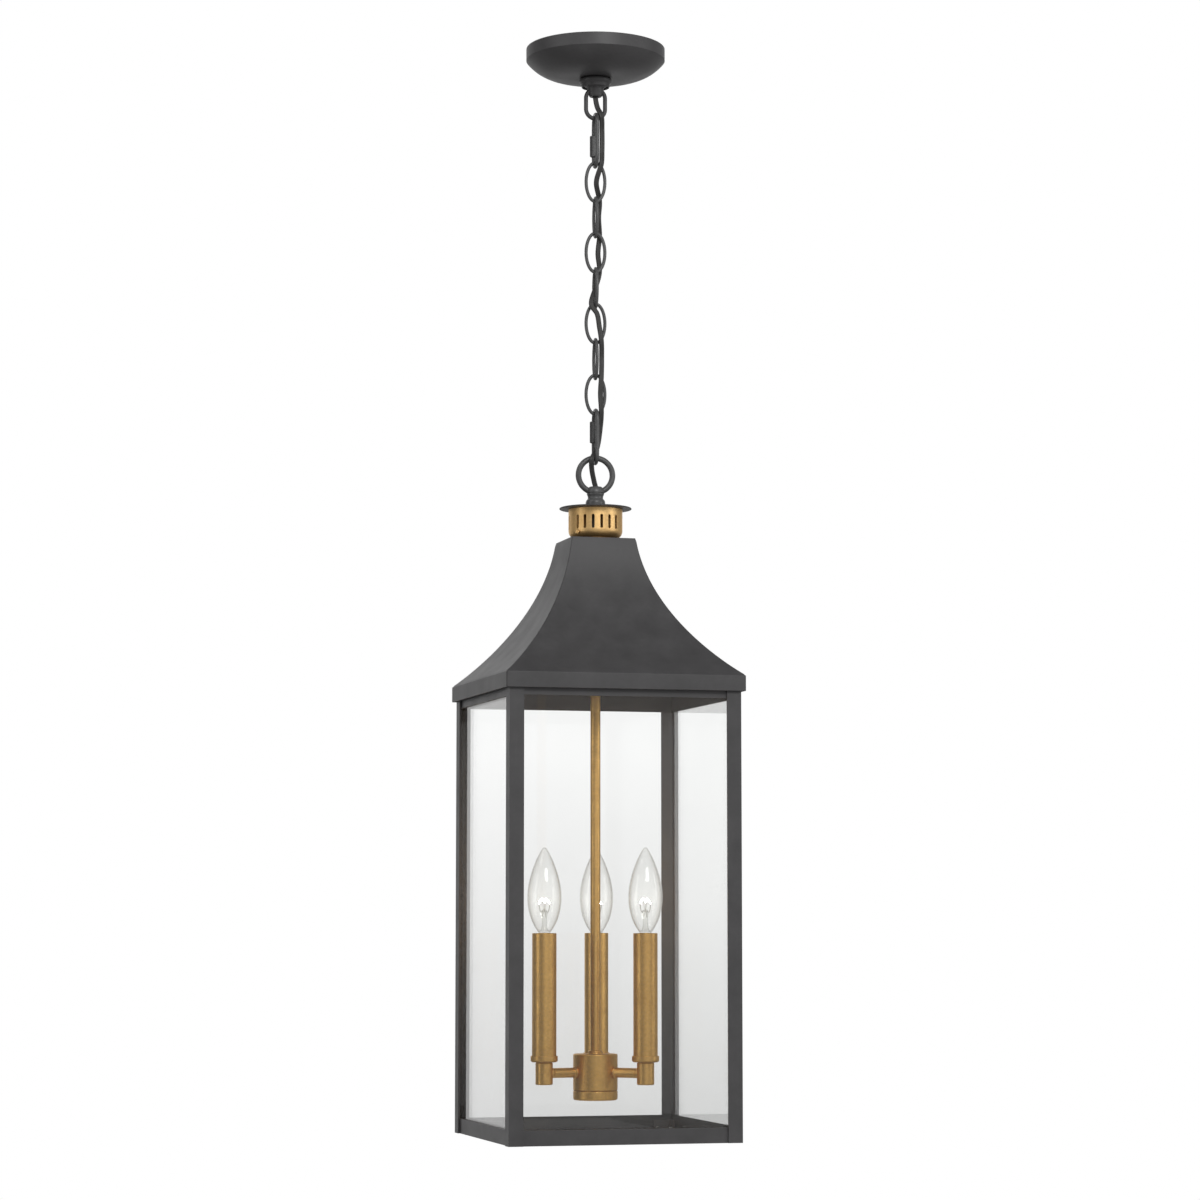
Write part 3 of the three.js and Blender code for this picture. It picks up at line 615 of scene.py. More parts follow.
# The cord's way through the chain, as the CAD source lays it: the corner between two crossing wires
# at each joint, and points beside each piece as (x, y, share of the way down it).
CORNER = 4.7
CORNERS = [(1, -1), (1, -1), (1, 1), (1, 1), (1, 1), (-1, -1), (1, -1), (1, -1), (1, -1)]
RING_CORNER = (-4.6, -6.2)
BESIDE = [
    [(5.9, -1.6, 0.3), (5.9, -1.6, 0.7)],
    [(0.8, -0.2, 0.5)],
    [(3.2, 1.2, 0.5)],
    [(3.2, 4.5, 0.5)],
    [(0, 0, 0.5)],
    [(0.6, -4.6, 0.27), (2.9, -4.2, 0.6)],
    [(5.6, -1.4, 0.5)],
    [(3.9, -4.5, 0.5)],
    [(4.4, -1.4, 0.3), (1.4, -1.2, 0.7)],
]
RING_CENTRE_Z = -403.4
RING_INNER_R, RING_WIRE = 13.3, 2.7
LANTERN_DATUM = -404.35  # the lantern's own heights are measured down from here
NUB_TOP = LANTERN_DATUM - 9.9
LOOP_NUB_BOTTOM = -45.5


def cord_points(chain):
    points = [(0, 0, -1.5), (0, 0, -20), (0, 0, LOOP_NUB_BOTTOM - 1), (1.6, -1.6, LOOP_NUB_BOTTOM - 10.5)]
    above = PIVOT_Z["quick_link_top"]
    for info, (sx, sy), beside in zip(chain, CORNERS, BESIDE):
        points.append((sx * CORNER, sy * CORNER, (above + info["top"]) / 2))
        for x, y, share in beside:
            points.append((x, y, info["top"] + share * (info["bottom"] - info["top"])))
        above = info["bottom"]
    ring_top = RING_CENTRE_Z + RING_INNER_R + RING_WIRE
    points.append((*RING_CORNER, (above + ring_top) / 2))
    points.append((-3.9, -2.6, RING_CENTRE_Z + 5))
    points.append((-1.1, -0.4, NUB_TOP + 4))
    points.extend([(0, 0, NUB_TOP), (0, 0, NUB_TOP - 4), (0, 0, LANTERN_DATUM - 24.8)])
    return points


def twin_section(half_wide=2.4, lobe=1.38, sides=10):
    """A flat twin flex: two round conductors side by side with a groove between them."""
    offset = half_wide - lobe
    reach = pi / 2 + 0.62
    points = []
    for side, middle in ((1, 0.0), (-1, pi)):
        for k in range(sides + 1):
            angle = middle - reach + 2 * reach * k / sides
            points.append((side * offset + lobe * cos(angle), lobe * sin(angle)))
    return points


def make_cord(chain):
    """The flex in ten lengths, divided halfway down each hanging piece, so that each spans one joint."""
    path = [Vector(p) for p in hung((catmull(cord_points(chain)), None))[0]]
    section = twin_section()
    around = len(section)
    rings = []
    for i, (point, (a_dir, b_dir)) in enumerate(zip(path, frames_along(path, up=(1, 0, 0)))):
        angle = 0.12 + 0.2 * sin(i * 0.021)  # the flat side turns a little from link to link
        ca, sa = cos(angle), sin(angle)
        rings.append([point + a_dir * (a * ca - b * sa) + b_dir * (a * sa + b * ca) for a, b in section])
    middles = [(info["top"] + info["bottom"]) / 2 for info in chain]
    ends = [0] + [next(i for i, p in enumerate(path) if p.z <= z) for z in middles] + [len(path) - 1]
    for n, (first, last) in enumerate(zip(ends, ends[1:])):
        verts = [tuple(v) for ring in rings[first:last + 1] for v in ring]
        rows = last - first + 1
        shape = verts, tube_faces(rows, around) + end_caps(rows, around)
        part = piece(f"cord_{n:02d}", shape, CORD, None, "chain_cord", sharp=70, weighted=False)
        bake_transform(part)


def hex_sleeve(flats, low, high, x, y, bore):
    """A long hexagonal nut with chamfered ends."""
    corner = flats / sqrt(3)
    rows = [(corner - 0.8, low), (corner, low + 0.7), (corner, high - 0.7), (corner - 0.8, high)]
    verts = [(x + a, y + b, z) for r, z in rows for a, b in circle(r, 6)]
    faces = tube_faces(4, 6)
    base = len(verts)
    verts += [(x + a, y + b, z) for z in (low, high) for a, b in circle(bore, 24)]
    for row, ring in ((0, base), (18, base + 24)):
        for k in range(6):
            inner = [ring + (k * 4 + m) % 24 for m in range(5)]
            faces.append([row + k, row + (k + 1) % 6] + inner[::-1])
    for k in range(24):
        n = (k + 1) % 24
        faces.append([base + n, base + k, base + 24 + k, base + 24 + n])
    return verts, faces


def sleeve_threads(info, sleeve_low, sleeve_high):
    """The thread that shows on the leg past the sleeve, as seven ridges."""
    wire = info["wire"]
    ridges = []
    for k in range(7):
        away = 0.8 + k * 0.85
        z = sleeve_high + away if info["name"].endswith("top") else sleeve_low - away
        ridge = [(wire - 0.3, z - 0.36), (wire + 0.16, z), (wire - 0.3, z + 0.36)]
        ridges.append(revolve(ridge, 20, (0, info["width"] / 2 + wire), closed=True))
    return ridges


def make_chain(chain):
    for i, info in enumerate(chain):
        name, wire = info["name"], info["wire"]
        shape = link_shape(info, seam_side=1 if i % 4 < 2 else -1)
        if info["quick"]:
            low, high = low_high(f"{name}_sleeve")
            shape = merged(shape, *sleeve_threads(info, low.z, high.z))
            nut = hung(hex_sleeve(6.4, low.z, high.z, 0, info["width"] / 2 + wire, wire + 0.2))
            sleeve = f"{name}_sleeve"
            bevel(piece(f"{name}_hex", nut, CHAIN_PAINT, sleeve, sleeve, sharp=40), 0.22)
        piece(f"{name}_wire", hung(shape), CHAIN_PAINT, name, name, sharp=40)


CHAIN_INFO = chain_pieces()
make_cord(CHAIN_INFO)
make_chain(CHAIN_INFO)


# ---- canopy and ceiling mount

def make_canopy():
    low, high = low_high("canopy_shell")
    radius, depth = high.x, -low.z
    band, swell, wall = 11.4, 4.6, 1.4
    ring_low, ring_high = low_high("canopy_collar_ring")
    bore = 12.2

    def dome(r):
        return -band - (depth - band) * (1 - (r / radius) ** swell)

    radii = [radius - (radius - bore) * (k / 60) ** 1.8 for k in range(61)]
    outside = [(r, dome(r)) for r in radii]
    inside = [(min(r, radius - wall), dome(r) + wall) for r in radii][::-1]
    outline = [(radius, 0)] + outside + inside[:-1] + [(radius - wall, 0)]
    piece("canopy_dome", lathed(outline, 0.5, 160), PAINT, "canopy", "canopy_shell")

    top, bottom, r = ring_high.z, ring_low.z, ring_high.x
    collar = [
        (11.9, top), (r - 2, top), (r - 0.5, top - 0.8), (r, top - 2.4), (r - 0.5, top - 4.2),
        (r - 2, top - 5.4), (r - 2.4, bottom), (11.9, bottom),
    ]
    piece("canopy_collar", lathed(collar, 0.7, 144), PAINT, "canopy", "canopy_collar_ring")


def make_canopy_loop():
    low, high = low_high("canopy_loop")
    wire, outer_width, outer_top = 1.95, 22.0, -36.0
    path = link_path(outer_width - 2 * wire, outer_top - low.z - 2 * wire, outer_top - wire, "x", False, 96)
    loop = hung(sweep(path, circle(wire, 18), closed=True, up=(0, 1, 0)))
    bore, foot = 3.3, LOOP_NUB_BOTTOM
    outline = [(bore, high.z), (11.0, high.z), (11.5, high.z - 0.6)]
    for k in range(7):
        z = high.z - 1.5 - k * 1.4
        outline += [(11.45, z + 0.5), (11.05, z), (11.45, z - 0.5)]
    outline += [
        (11.6, -34.8), (10.5, -35.6), (8.2, -36.6), (7.5, foot + 7), (6.2, foot + 1), (5.6, foot),
        (bore, foot),
    ]
    shape = merged(lathed(outline, 0.45, 72), loop)
    piece("canopy_loop_casting", shape, PAINT, "ceiling_mount", "canopy_loop", sharp=45)


make_canopy()
make_canopy_loop()


# ---- lantern top

def make_ring():
    foot = low_high("suspension_ring")[0].z
    c = LANTERN_DATUM
    nub = [
        (3.3, NUB_TOP), (5.8, NUB_TOP), (6.9, NUB_TOP - 1.2), (7.8, c - 12.8), (8.2, c - 15.1),
        (8.2, c - 15.5), (7.5, c - 15.7), (7.5, c - 15.9), (8.1, c - 16.1), (7.9, c - 17.4),
        (7.1, c - 19.2), (7.1, c - 21.2), (8.6, c - 22.8), (9.1, c - 24.4), (9.1, foot), (3.3, foot),
    ]
    path = [(x, 0, RING_CENTRE_Z + z) for x, z in circle(RING_INNER_R + RING_WIRE, 128)]
    ring = sweep(path, circle(RING_WIRE, 24), closed=True, up=(0, 1, 0))
    shape = merged(lathed(nub, 0.7, 72, steps=4), hung(ring))
    piece("ring_and_nub", shape, CHAIN_PAINT, "lantern", "suspension_ring", sharp=60)


def make_cap_disc():
    low, high = low_high("cap_disc")
    rim = high.x
    outline = [
        (5.2, high.z), (rim - 0.6, high.z), (rim, high.z - 0.5), (rim, low.z + 0.3), (rim - 0.3, low.z),
        (5.2, low.z),
    ]
    piece("vent_cap_disc", lathed(outline, 0.3, 144), PAINT, "lantern", "cap_disc")


GALLERY_R, GALLERY_WALL = 25.0, 1.0
GALLERY_SLOTS = 20
SLOT_FIRST, SLOT_STEP, SLOTS_MISSING = -91.8, 18.0, (3, 16)
SLOT_WIDE, SLOT_LONG = 2.6, 13.0
SLOT_DOWN = 44.5  # the slots' middle, below the datum
PER_SIDE = 10  # points along each side of the cell round a slot
SCREW_ANGLE, SCREW_DOWN = -146, 54.2


def slot_point(du, dv, below, above):
    """Where on its slot's outline a point of a cell's edge goes, both measured from the slot's middle.
    below and above are how far the cell reaches from there."""
    half_cell = radians(SLOT_STEP / 2) * GALLERY_R
    half_wide, straight = SLOT_WIDE / 2, (SLOT_LONG - SLOT_WIDE) / 2
    if abs(du) >= half_cell - 1e-6:
        # beside the slot: its straight side
        return copysign(half_wide, du), straight * dv / (above if dv > 0 else below)
    # over or under the slot: its round end
    turn = du / half_cell * (pi / 2)
    return half_wide * sin(turn), copysign(straight + half_wide * cos(turn), dv)


def slot_levels(centre, slot_z, low, high, rings=4):
    """Rings of (angle, z) that lead from the edge of a cell in to the outline of its slot."""
    first, last = centre - SLOT_STEP / 2, centre + SLOT_STEP / 2
    corners = [(first, low), (last, low), (last, high), (first, high)]
    levels = [[] for _ in range(rings + 1)]
    for (a, z), (b, w) in zip(corners, corners[1:] + corners[:1]):
        for k in range(PER_SIDE):
            du = radians(a + (b - a) * k / PER_SIDE - centre) * GALLERY_R
            dv = z + (w - z) * k / PER_SIDE - slot_z
            u, v = slot_point(du, dv, slot_z - low, high - slot_z)
            for step, level in enumerate(levels):
                share = step / rings
                across, up = du * (1 - share) + u * share, dv * (1 - share) + v * share
                level.append((centre + degrees(across / GALLERY_R), slot_z + up))
    return levels


def make_gallery():
    """The slotted band, whose foot bends inward to a flat flange with a short collar."""
    low, high = low_high("gallery")
    top, bottom, bend, lift = high.z, low.z, 7.0, 1.5
    band_low = bottom + lift + bend
    inner_r = GALLERY_R - GALLERY_WALL
    verts, faces, index = [], [], {}

    def vertex(angle, z, r):
        key = (round(angle % 360, 5), round(z, 5), round(r, 5))
        if key not in index:
            index[key] = len(verts)
            a = radians(angle)
            verts.append((r * cos(a), r * sin(a), z))
        return index[key]

    def both_skins(points):
        faces.append([vertex(*point, GALLERY_R) for point in points])
        faces.append([vertex(*point, inner_r) for point in points[::-1]])

    for i in range(GALLERY_SLOTS):
        centre = SLOT_FIRST + i * SLOT_STEP
        if i in SLOTS_MISSING:
            steps = [k / PER_SIDE for k in range(PER_SIDE + 1)]
            angles = [centre + SLOT_STEP * (share - 0.5) for share in steps]
            heights = [band_low + (top - band_low) * share for share in steps]
            for a, b in zip(angles, angles[1:]):
                for z, w in zip(heights, heights[1:]):
                    both_skins([(a, z), (b, z), (b, w), (a, w)])
            continue
        levels = slot_levels(centre, LANTERN_DATUM - SLOT_DOWN, band_low, top)
        for a, b in zip(levels, levels[1:]):
            for k in range(len(a)):
                n = (k + 1) % len(a)
                both_skins([a[k], a[n], b[n], b[k]])
        inner = levels[-1]
        for a, b in zip(inner, inner[1:] + inner[:1]):
            corners = ((a, GALLERY_R), (b, GALLERY_R), (b, inner_r), (a, inner_r))
            faces.append([vertex(*point, r) for point, r in corners])

    first = SLOT_FIRST - SLOT_STEP / 2
    angles = [first + SLOT_STEP * k / PER_SIDE for k in range(GALLERY_SLOTS * PER_SIDE)]

    def belt(outline):
        """Quads all the way round between neighbouring (radius, z) points."""
        for (r, z), (r2, z2) in zip(outline, outline[1:]):
            for a, b in zip(angles, angles[1:] + angles[:1]):
                faces.append([vertex(a, z, r), vertex(a, z2, r2), vertex(b, z2, r2), vertex(b, z, r)])

    turns = [radians(9 * k) for k in range(11)]
    bend_r = GALLERY_R - bend
    collar, inner_bend = bend_r - 1, bend - GALLERY_WALL
    foot = [(bend_r + bend * cos(t), band_low - bend * sin(t)) for t in turns]
    foot += [(collar, bottom + lift), (collar, bottom), (collar - GALLERY_WALL, bottom)]
    foot += [(collar - GALLERY_WALL, bottom + lift + GALLERY_WALL)]
    foot += [(bend_r + inner_bend * cos(t), band_low - inner_bend * sin(t)) for t in turns[::-1]]
    belt([(GALLERY_R, top), (inner_r, top)])
    belt(foot)
    piece("gallery_band", (verts, faces), GALLERY_BRASS, "lantern", "gallery")


def make_gallery_screw():
    """The small slotted screw low on the band."""
    head = [(0, 1.5), (1.3, 1.4), (2.0, 0.9), (2.1, 0.3), (1.2, 0.3), (1.2, -4.6), (0, -4.6)]
    verts, faces = revolve(soften(head, 0.25), 32)
    slotted = [(x, y, z - 0.5 if abs(y) < 0.32 and z > 1.1 else z) for x, y, z in verts]
    placed = aimed(slotted, radians(SCREW_ANGLE), GALLERY_R, LANTERN_DATUM - SCREW_DOWN)
    piece("gallery_band_screw", (placed, faces), GALLERY_BRASS, "lantern", "gallery_screw", sharp=35)


make_ring()
make_cap_disc()
make_gallery()
make_gallery_screw()


# ---- roof

def square_loft(outline, corners, steps=4):
    """An outline of (half width, z) that closes on itself, carried round a square with rounded corners."""
    verts = []
    for (half, z), radius in zip(outline, corners):
        for quarter, (sx, sy) in enumerate([(1, 1), (-1, 1), (-1, -1), (1, -1)]):
            for k in range(steps + 1):
                angle = pi / 2 * (quarter + k / steps)
                x = sx * (half - radius) + radius * cos(angle)
                y = sy * (half - radius) + radius * sin(angle)
                verts.append((x, y, z))
    return verts, tube_faces(len(outline), 4 * (steps + 1), closed=True)


def make_roof():
    low, high = low_high("roof")
    top, eave_bottom, eave_half = high.z, low.z, high.x
    eave_top = LANTERN_DATUM - 190.7
    top_half, wall = 30.5, 1.2
    x1, y1, x2, y2 = 0.489, 0.105, 0.852, 0.69  # the sweep of the slope, as two control points
    curve, count = [], 56
    for i in range(count + 1):
        s = i / count
        b1, b2 = 3 * (1 - s) ** 2 * s, 3 * (1 - s) * s ** 2
        drop = b1 * x1 + b2 * x2 + s ** 3
        spread = b1 * y1 + b2 * y2 + s ** 3
        curve.append(Vector((top_half + spread * (eave_half - top_half), top + drop * (eave_top - top))))
    inner = []
    for i in range(2, count - 1, 2):
        along = (curve[i + 1] - curve[i - 1]).normalized()
        inner.append((curve[i].x + along.y * wall, curve[i].y - along.x * wall))
    outside = [(5.2, top), (top_half - 0.5, top)] + [tuple(p) for p in curve[1:-1]]
    outside += [
        (eave_half - 0.9, eave_top + 0.18), (eave_half - 0.22, eave_top - 0.22), (eave_half, eave_top - 0.9),
        (eave_half, eave_bottom + 0.25), (eave_half - 0.25, eave_bottom),
    ]
    inside = [
        (eave_half - wall, eave_bottom), (eave_half - wall, eave_top - wall - 0.4),
        (eave_half - wall - 0.5, eave_top - wall),
    ]
    inside += inner[::-1] + [(inner[0][0] - 0.3, top - wall), (5.2, top - wall)]
    corners = []
    for half, z in outside:
        share = min(max((top - z) / (top - eave_top), 0), 1)
        corners.append(0.9 + 0.5 * share if half > 10 else 0.5)
    corners += [0.4 if half > 10 else 0.5 for half, z in inside]
    piece("roof_shell", square_loft(outside + inside, corners), PAINT, "lantern", "roof", sharp=60)


make_roof()


# ---- stem and cluster

ARMS = ("back", "left", "right")
ARM_CENTRE = {side: axis_of(f"candle_cup_{side}") for side in ARMS}
ARM_Z = LANTERN_DATUM - 548


def make_stem():
    low, high = low_high("stem")
    coupling, r, foot = high.x, 4.6, high.z - 15
    outline = [
        (3.3, low.z), (r, low.z), (r, foot - 2), (coupling, foot), (coupling, high.z), (5.2, high.z),
        (5.2, foot + 0.3), (3.3, foot + 0.3),
    ]
    piece("centre_stem", lathed(outline, 0.5, 64), BRASS, "lantern", "stem")


def make_hub():
    low, high = low_high("hub_body")
    cap_low = low_high("hub_cap")[0].z
    r, top, seam, r_in = 20.3, high.z - 1.4, low.z, 18.3
    body = [
        (4.9, top + 1.4), (6.8, top + 1.4), (7.0, top + 1.1), (7.0, top), (r - 0.8, top), (r, top - 0.8),
        (r, seam + 0.5), (r - 0.5, seam), (r_in, seam), (r_in, top - 3), (4.9, top - 3),
    ]
    piece("hub_drum", lathed(body, 0.45, 112), BRASS, "lantern", "hub_body")
    t = seam - 0.3
    cap = [
        (0, t - 1), (16, t - 1), (16, t + 4), (18, t + 4), (18, t), (r - 0.5, t), (r, t - 0.5),
        (r, cap_low + 1.2), (r - 1.2, cap_low), (0, cap_low),
    ]
    piece("hub_screw_cap", revolve(soften(cap, 0.5), 112), BRASS, "hub_cap", "hub_cap")
    washer = [(4.75, top + 1.4), (6.4, top + 1.4), (6.4, top + 2.6), (5.4, top + 3.4), (4.75, top + 3.4)]
    piece("stem_washer", lathed(washer, 0.3, 56), BRASS, "lantern")


def make_arm(side):
    x, y = ARM_CENTRE[side]
    low, high = low_high(f"arm_{side}")
    knuckle_r, arm_r = 7.85, 4.5
    knuckle = [
        (4.3, high.z), (knuckle_r - 0.5, high.z), (knuckle_r, high.z - 0.5), (knuckle_r, low.z + 0.8),
        (knuckle_r - 0.8, low.z), (0, low.z), (0, ARM_Z - 3), (4.3, ARM_Z - 3),
    ]
    body = revolve(soften(knuckle, 0.4) + [(4.3, high.z)], 64, (x, y))
    reach = hypot(x, y)
    tube = [
        (0.0, 19.4), (2.8, 18.9), (arm_r, 18.9), (arm_r, 20.3), (arm_r + 0.9, 20.8), (arm_r + 0.9, 22.0),
        (arm_r, 22.5), (arm_r, reach - knuckle_r - 1.2), (arm_r + 0.7, reach - knuckle_r + 0.1),
        (arm_r + 0.7, reach - 4.5), (0, reach - 4.5),
    ]
    verts, faces = revolve(soften(tube, 0.3), 40)
    placed = aimed(verts, atan2(y, x), 0, ARM_Z)
    piece(f"arm_{side}_brazed", merged(body, (placed, faces)), BRASS, "lantern", f"arm_{side}")


def make_candle(side):
    centre = ARM_CENTRE[side]
    low, high = low_high(f"candle_cup_{side}")
    r, cover_r = 12.35, 11.05
    cup = [
        (4.3, low.z), (r - 1.4, low.z), (r, low.z + 1.2), (r, high.z - 0.3), (r - 0.3, high.z),
        (cover_r + 0.3, high.z), (cover_r + 0.3, low.z + 1.6), (4.3, low.z + 1.6),
    ]
    name = f"candle_cup_{side}"
    piece(f"{name}_turned", lathed(cup, 0.5, 72, centre), BRASS, "lantern", name)
    name = f"candle_cover_{side}"
    low, high = low_high(name)
    inner = cover_r - 0.8
    cover = [
        (inner, low.z), (cover_r, low.z), (cover_r, high.z - 0.35), (cover_r - 0.35, high.z), (inner, high.z),
    ]
    piece(f"{name}_tube", lathed(cover, 0.3, 72, centre), BRASS, name, name)


make_stem()
make_hub()
for arm_side in ARMS:
    make_arm(arm_side)
    make_candle(arm_side)


# ---- lamps

ENVELOPE = [
    (0, 0), (1.0, 0.1), (1.8, 0.6), (3.3, 3), (5.4, 6.9), (7.6, 11.2), (10.3, 18), (12.1, 23.4),
    (13.4, 28.2), (14.8, 35), (15.5, 42), (15.2, 52.5), (12.8, 63.5), (9.2, 71.5), (6.3, 76),
]  # radius and distance below the tip


def smooth_profile(points, per_span=5):
    curve = catmull([(r, z, 0) for r, z in points], per_span)
    return [(max(p.x, 0.0), p.y) for p in curve]


def make_envelope(side, body, centre, tip, neck):
    outside = smooth_profile([(r, tip - drop) for r, drop in ENVELOPE] + [(5.7, neck + 0.4)])
    outside[0] = (0.0, outside[0][1])
    wall = 0.6
    inside = []
    for before, here, after in zip(outside, outside[1:], outside[2:]):
        along = (Vector(after) - Vector(before)).normalized()
        r, z = here[0] + along.y * wall, here[1] - along.x * wall
        if r > 0.6 and z < tip - wall - 0.4:
            inside.append((r, z))
    mouth = outside[-1][0]
    outline = outside + [(mouth, neck), (mouth - wall, neck)] + inside[::-1] + [(0.0, tip - 1.5)]
    piece(f"lamp_{side}_glass", revolve(outline, 72, centre), BULB_GLASS, body, f"bulb_glass_{side}")


def make_glass_stem(side, body, centre, neck):
    """The flared glass stem inside the neck, with its pinch flattened across X."""
    stem = [
        (4.6, 0.6), (3.4, 2.2), (2.5, 5), (2.2, 9), (2.4, 14), (2.9, 17), (2.6, 19.5), (1.0, 20.6),
        (0, 20.8),
    ]
    outline = smooth_profile([(r, neck + z) for r, z in stem])
    verts, faces = revolve([(0, neck + 0.6)] + outline, 32, centre)
    pinched = []
    for x, y, z in verts:
        share = min(max((z - neck - 11) / 5, 0), 1)
        pinched.append((x, centre[1] + (y - centre[1]) * (1 - 0.55 * share), z))
    piece(f"lamp_{side}_glass_stem", (pinched, faces), STEM_GLASS, body, sharp=60)


def make_filament(side, body, centre, tip, neck):
    """The lead and support wires, and the coiled filament between them."""
    x, y = centre
    base_z, hot_z = neck + 19.6, tip - 51
    wires = []
    for sign in (-1, 1):
        lead = [(1.4, base_z - 6), (1.6, base_z), (3.2, hot_z - 8), (5.0, hot_z - 1.6), (5.1, hot_z + 0.2)]
        path = catmull([(x + sign * out, y, z) for out, z in lead], 6)
        wires.append(sweep(path, circle(0.28, 8)))
    for dx, dy, drop in ((-1.8, 1.2, 0.2), (1.8, 1.2, 0.2), (0.0, -1.4, 0.0)):
        support = [(0, 0, base_z - 2), (dx * 0.4, dy * 0.4, base_z + 2), (dx, dy, hot_z + 4.6 - drop)]
        path = catmull([(x + a, y + b, z) for a, b, z in support], 6)
        wires.append(sweep(path, circle(0.16, 8)))
    piece(f"lamp_{side}_wires", merged(*wires), LEAD_WIRE, body, sharp=70, weighted=False)

    posts = [(-5.1, 0, 0), (-1.8, 1.2, 4.4), (0, -1.4, 1.2), (1.8, 1.2, 4.4), (5.1, 0, 0)]
    line = evenly(catmull([(x + a, y + b, hot_z + up) for a, b, up in posts], 12), 420)
    coil = []
    for i, (point, (a_dir, b_dir)) in enumerate(zip(line, frames_along(line, up=(0, 1, 0)))):
        angle = i * 0.9
        coil.append(point + a_dir * 0.34 * cos(angle) + b_dir * 0.34 * sin(angle))
    filament = sweep(coil, circle(0.22, 6))
    piece(f"lamp_{side}_filament", filament, FILAMENT, body, sharp=80, weighted=False).visible_glossy = False


def make_screw_cap(side, body, centre):
    """The screw shell with its rolled thread, the insulator and the contact."""
    x, y = centre
    low, high = low_high(f"bulb_base_{side}")
    top, r, around, rows = high.z, 5.8, 64, 76
    foot = top - 19
    verts = []
    for i in range(rows + 1):
        z = foot + 1.2 + 13.2 * i / rows
        fade = min(1.0, i / 8, (rows - i) / 8)
        for k in range(around):
            angle = 2 * pi * k / around
            turn = (z - foot) / 2.6 - k / around
            radius = r - 0.36 + 0.36 * fade * cos(2 * pi * turn)
            verts.append((x + radius * cos(angle), y + radius * sin(angle), z))
    thread_low, thread_high = foot + 1.2, foot + 14.4
    upper = [
        (r - 0.36, thread_high), (r - 0.2, thread_high + 1.2), (r - 0.15, top - 0.3), (r - 0.5, top),
        (0, top),
    ]
    lower = [(0, foot - 0.6), (3.4, foot - 0.6), (r - 0.9, foot), (r - 0.36, thread_low)]
    ends = [revolve(soften(outline, 0.2), around, centre) for outline in (upper, lower)]
    shell = merged((verts, tube_faces(rows + 1, around)), *ends)
    piece(f"lamp_{side}_screw_cap", shell, CAP_BRASS, body, f"bulb_base_{side}", sharp=60)
    contact = [(0, low.z), (1.5, low.z + 0.1), (1.9, low.z + 0.7), (1.9, foot - 0.2), (0, foot - 0.2)]
    piece(f"lamp_{side}_contact", revolve(soften(contact, 0.3), 24, centre), CAP_BRASS, body, sharp=60)


for lamp_side in ARMS:
    lamp_body, lamp_centre = BODY_OF[f"bulb_glass_{lamp_side}"], ARM_CENTRE[lamp_side]
    lamp_low, lamp_high = low_high(f"bulb_glass_{lamp_side}")
    make_envelope(lamp_side, lamp_body, lamp_centre, lamp_high.z, lamp_low.z)
    make_glass_stem(lamp_side, lamp_body, lamp_centre, lamp_low.z)
    make_filament(lamp_side, lamp_body, lamp_centre, lamp_high.z, lamp_low.z)
    make_screw_cap(lamp_side, lamp_body, lamp_centre)


# ---- finish on the CAD nodes that stay

def dress(node, material, rounding=None):
    obj = NODES[node]
    obj.data.materials.clear()
    obj.data.materials.append(material)
    if rounding:
        bevel(obj, rounding)
        for polygon in obj.data.polygons:
            polygon.use_smooth = False


for cad_node in NODES:
    if cad_node.startswith(("crossbar", "ceiling_nipple", "lantern_nipple", "roof_lock_nut")):
        dress(cad_node, STEEL, 0.2)
    elif cad_node.startswith(("post_", "top_rails", "base_rails")):
        dress(cad_node, PAINT, 0.35)
for pane_side, pane_glass in PANE_GLASS.items():
    dress(f"glass_{pane_side}", pane_glass, 0.25)
for arm_side in ARMS:
    dress(f"socket_{arm_side}", PHENOLIC, 0.25)
dress("stem_cord", CORD)


# ---- pane clips

def make_pane_clips():
    """A bent corner clip on the base ledge in each corner, which keeps the panes against the rails."""
    ledge = low_high("base_rails")[0].z + 1.7
    outer, leg, sheet, tall, foot = 99.9, 16.0, 0.8, 7.5, 5.4

    def angle_plan(width):
        near, far = outer - width, outer - leg
        return [(outer, outer), (far, outer), (far, near), (near, near), (near, far), (outer, far)]

    head = [(0, 1.9), (0.9, 1.75), (1.5, 1.3), (1.7, sheet), (0, sheet)]
    head = [(r, ledge + z) for r, z in head]
    for row, sy in (("front", -1), ("back", 1)):
        for side, sx in (("left", -1), ("right", 1)):
            walls, feet = ([(sx * x, sy * y) for x, y in angle_plan(width)] for width in (sheet, foot))
            shape = merged(prism(walls, ledge + 0.4, ledge + tall), prism(feet, ledge, ledge + sheet))
            bevel(piece(f"pane_clip_{row}_{side}", shape, PAINT, "lantern", sharp=30), 0.15)
            heads = [
                revolve(soften(head, 0.2), 24, (sx * x, sy * y))
                for x, y in ((outer - 13, outer - 3), (outer - 3, outer - 13))
            ]
            piece(f"pane_clip_{row}_{side}_screws", merged(*heads), STEEL, "lantern")


make_pane_clips()


# ---- floor, light

def make_floor():
    verts, faces = revolve([(0, 0)] + [(r, 0) for r in (300, 900, 1800, 2600, 3400, 4200, 5000)], 96)
    mesh = bpy.data.meshes.new("studio_floor")
    mesh.from_pydata([tuple(Vector(v) * MM) for v in verts], [], faces)
    floor = linked("studio_floor", mesh)
    floor.location = (0, 0, CAD_BOX[0].z - 0.5)
    s = Shader("studio_floor")
    far = s.add("VectorMath")
    far.operation = "LENGTH"
    s.join(s.place, far.inputs[0])
    clear = s.add("BsdfTransparent")
    grey = s.mix(s.noise(3, 3), (0.64, 0.64, 0.64, 1), (0.68, 0.68, 0.68, 1))
    matt = s.add("BsdfDiffuse", Color=grey)
    fade = s.ramp(far.outputs["Value"], 1.2, 4.4)
    mesh.materials.append(s.surface(s.mix_shaders(fade, matt, clear)))


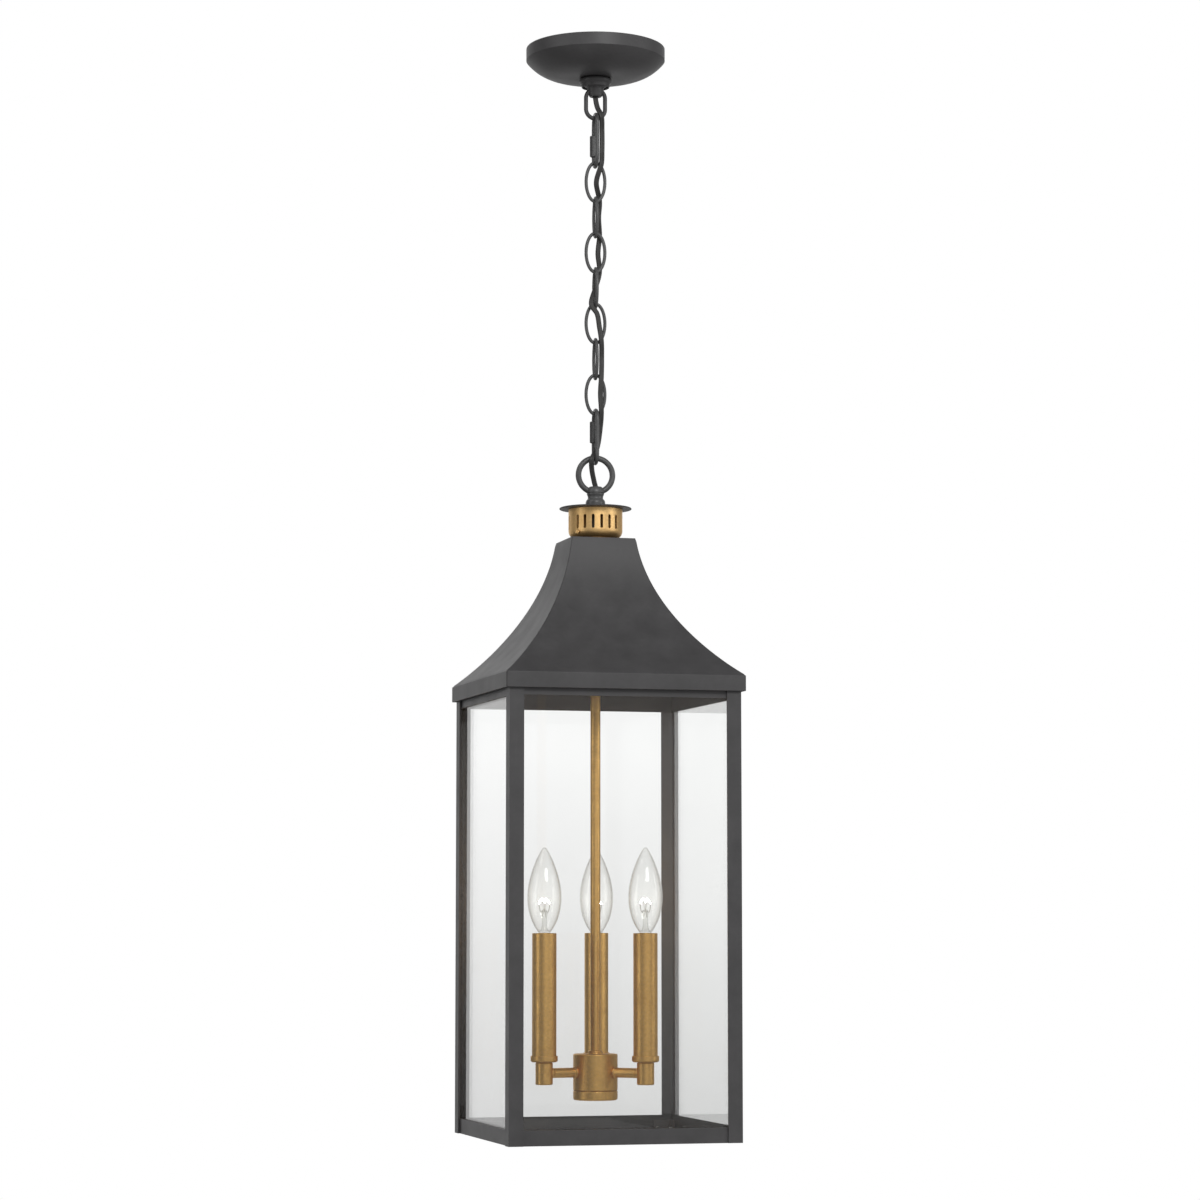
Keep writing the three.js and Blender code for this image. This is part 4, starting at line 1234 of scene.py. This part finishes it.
def make_world():
    """White studio behind the lantern, a dimmer room on the camera's side. The camera itself sees white."""
    world = bpy.data.worlds.new("studio")
    bpy.context.scene.world = world
    n = Nodes(world, "OutputWorld")
    toward = n.add("TexCoord").outputs["Generated"]
    parts = n.add("SeparateXYZ", Vector=toward).outputs

    def ramp(axis, *numbers):
        return n.ramp(parts[axis], *numbers, smooth=True)

    around = n.math("ADD", ramp("Y", 0.45, 0.93, 0.30, 1.0), ramp("Y", -0.45, -0.95, 0.0, 0.38))
    height = n.times(ramp("Z", -1.0, 0.25, 0.2, 1.06), ramp("Z", 0.4, 1.0, 1.0, 0.75))
    room = n.times(n.times(around, height), ramp("X", -0.95, -0.15, 0.38, 1.0))
    pick = n.add("Mix")
    pick.data_type = "FLOAT"
    n.join(n.add("LightPath").outputs["Is Camera Ray"], pick.inputs[0])
    n.join(room, pick.inputs[2])
    n.join(1.0, pick.inputs[3])
    background = n.add("Background", Color=(1, 1, 1, 1), Strength=pick.outputs[0])
    n.surface(background.outputs[0])


def softbox(name, at, to, size, power, sheen_only=False):
    data = bpy.data.lights.new(name, "AREA")
    data.shape = "RECTANGLE"
    data.size, data.size_y = size
    data.energy = power
    obj = linked(name, data)
    obj.location = at
    obj.rotation_mode = "QUATERNION"
    obj.rotation_quaternion = (Vector(to) - Vector(at)).to_track_quat("-Z", "Y")
    obj.visible_camera = False
    obj.visible_diffuse = not sheen_only


def make_lamps_light():
    for side in ARMS:
        x, y = ARM_CENTRE[side]
        data = bpy.data.lights.new(f"glow_{side}", "POINT")
        data.energy = 0.5
        data.color = (1.0, 0.62, 0.3)
        data.shadow_soft_size = 0.004
        obj = linked(f"glow_{side}", data)
        obj.location = (x * MM, y * MM, FILAMENT_HEIGHT)
        obj.visible_glossy = False
        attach(obj, BODY_OF[f"bulb_glass_{side}"])


make_floor()
make_world()
softbox("key_front", (0.1, -3.2, 1.25), (0, 0, -0.6), (1.7, 1.0), 44)
softbox("fill_right", (2.8, -1.6, -0.1), (0, 0, -0.6), (1.2, 1.8), 16)
softbox("fill_high_left", (-1.5, -0.6, 1.0), (0, 0, -0.5), (0.8, 0.8), 7)
softbox("strip_left", (-2.6, -0.5, -0.4), (0, 0, -0.6), (0.7, 2.0), 11, sheen_only=True)
make_lamps_light()

view = bpy.context.scene.view_settings
view.view_transform = "Standard"
view.look = "None"
bpy.context.scene.cycles.use_denoising = True
bpy.context.scene.cycles.max_bounces = 12
bpy.context.scene.cycles.transparent_max_bounces = 24
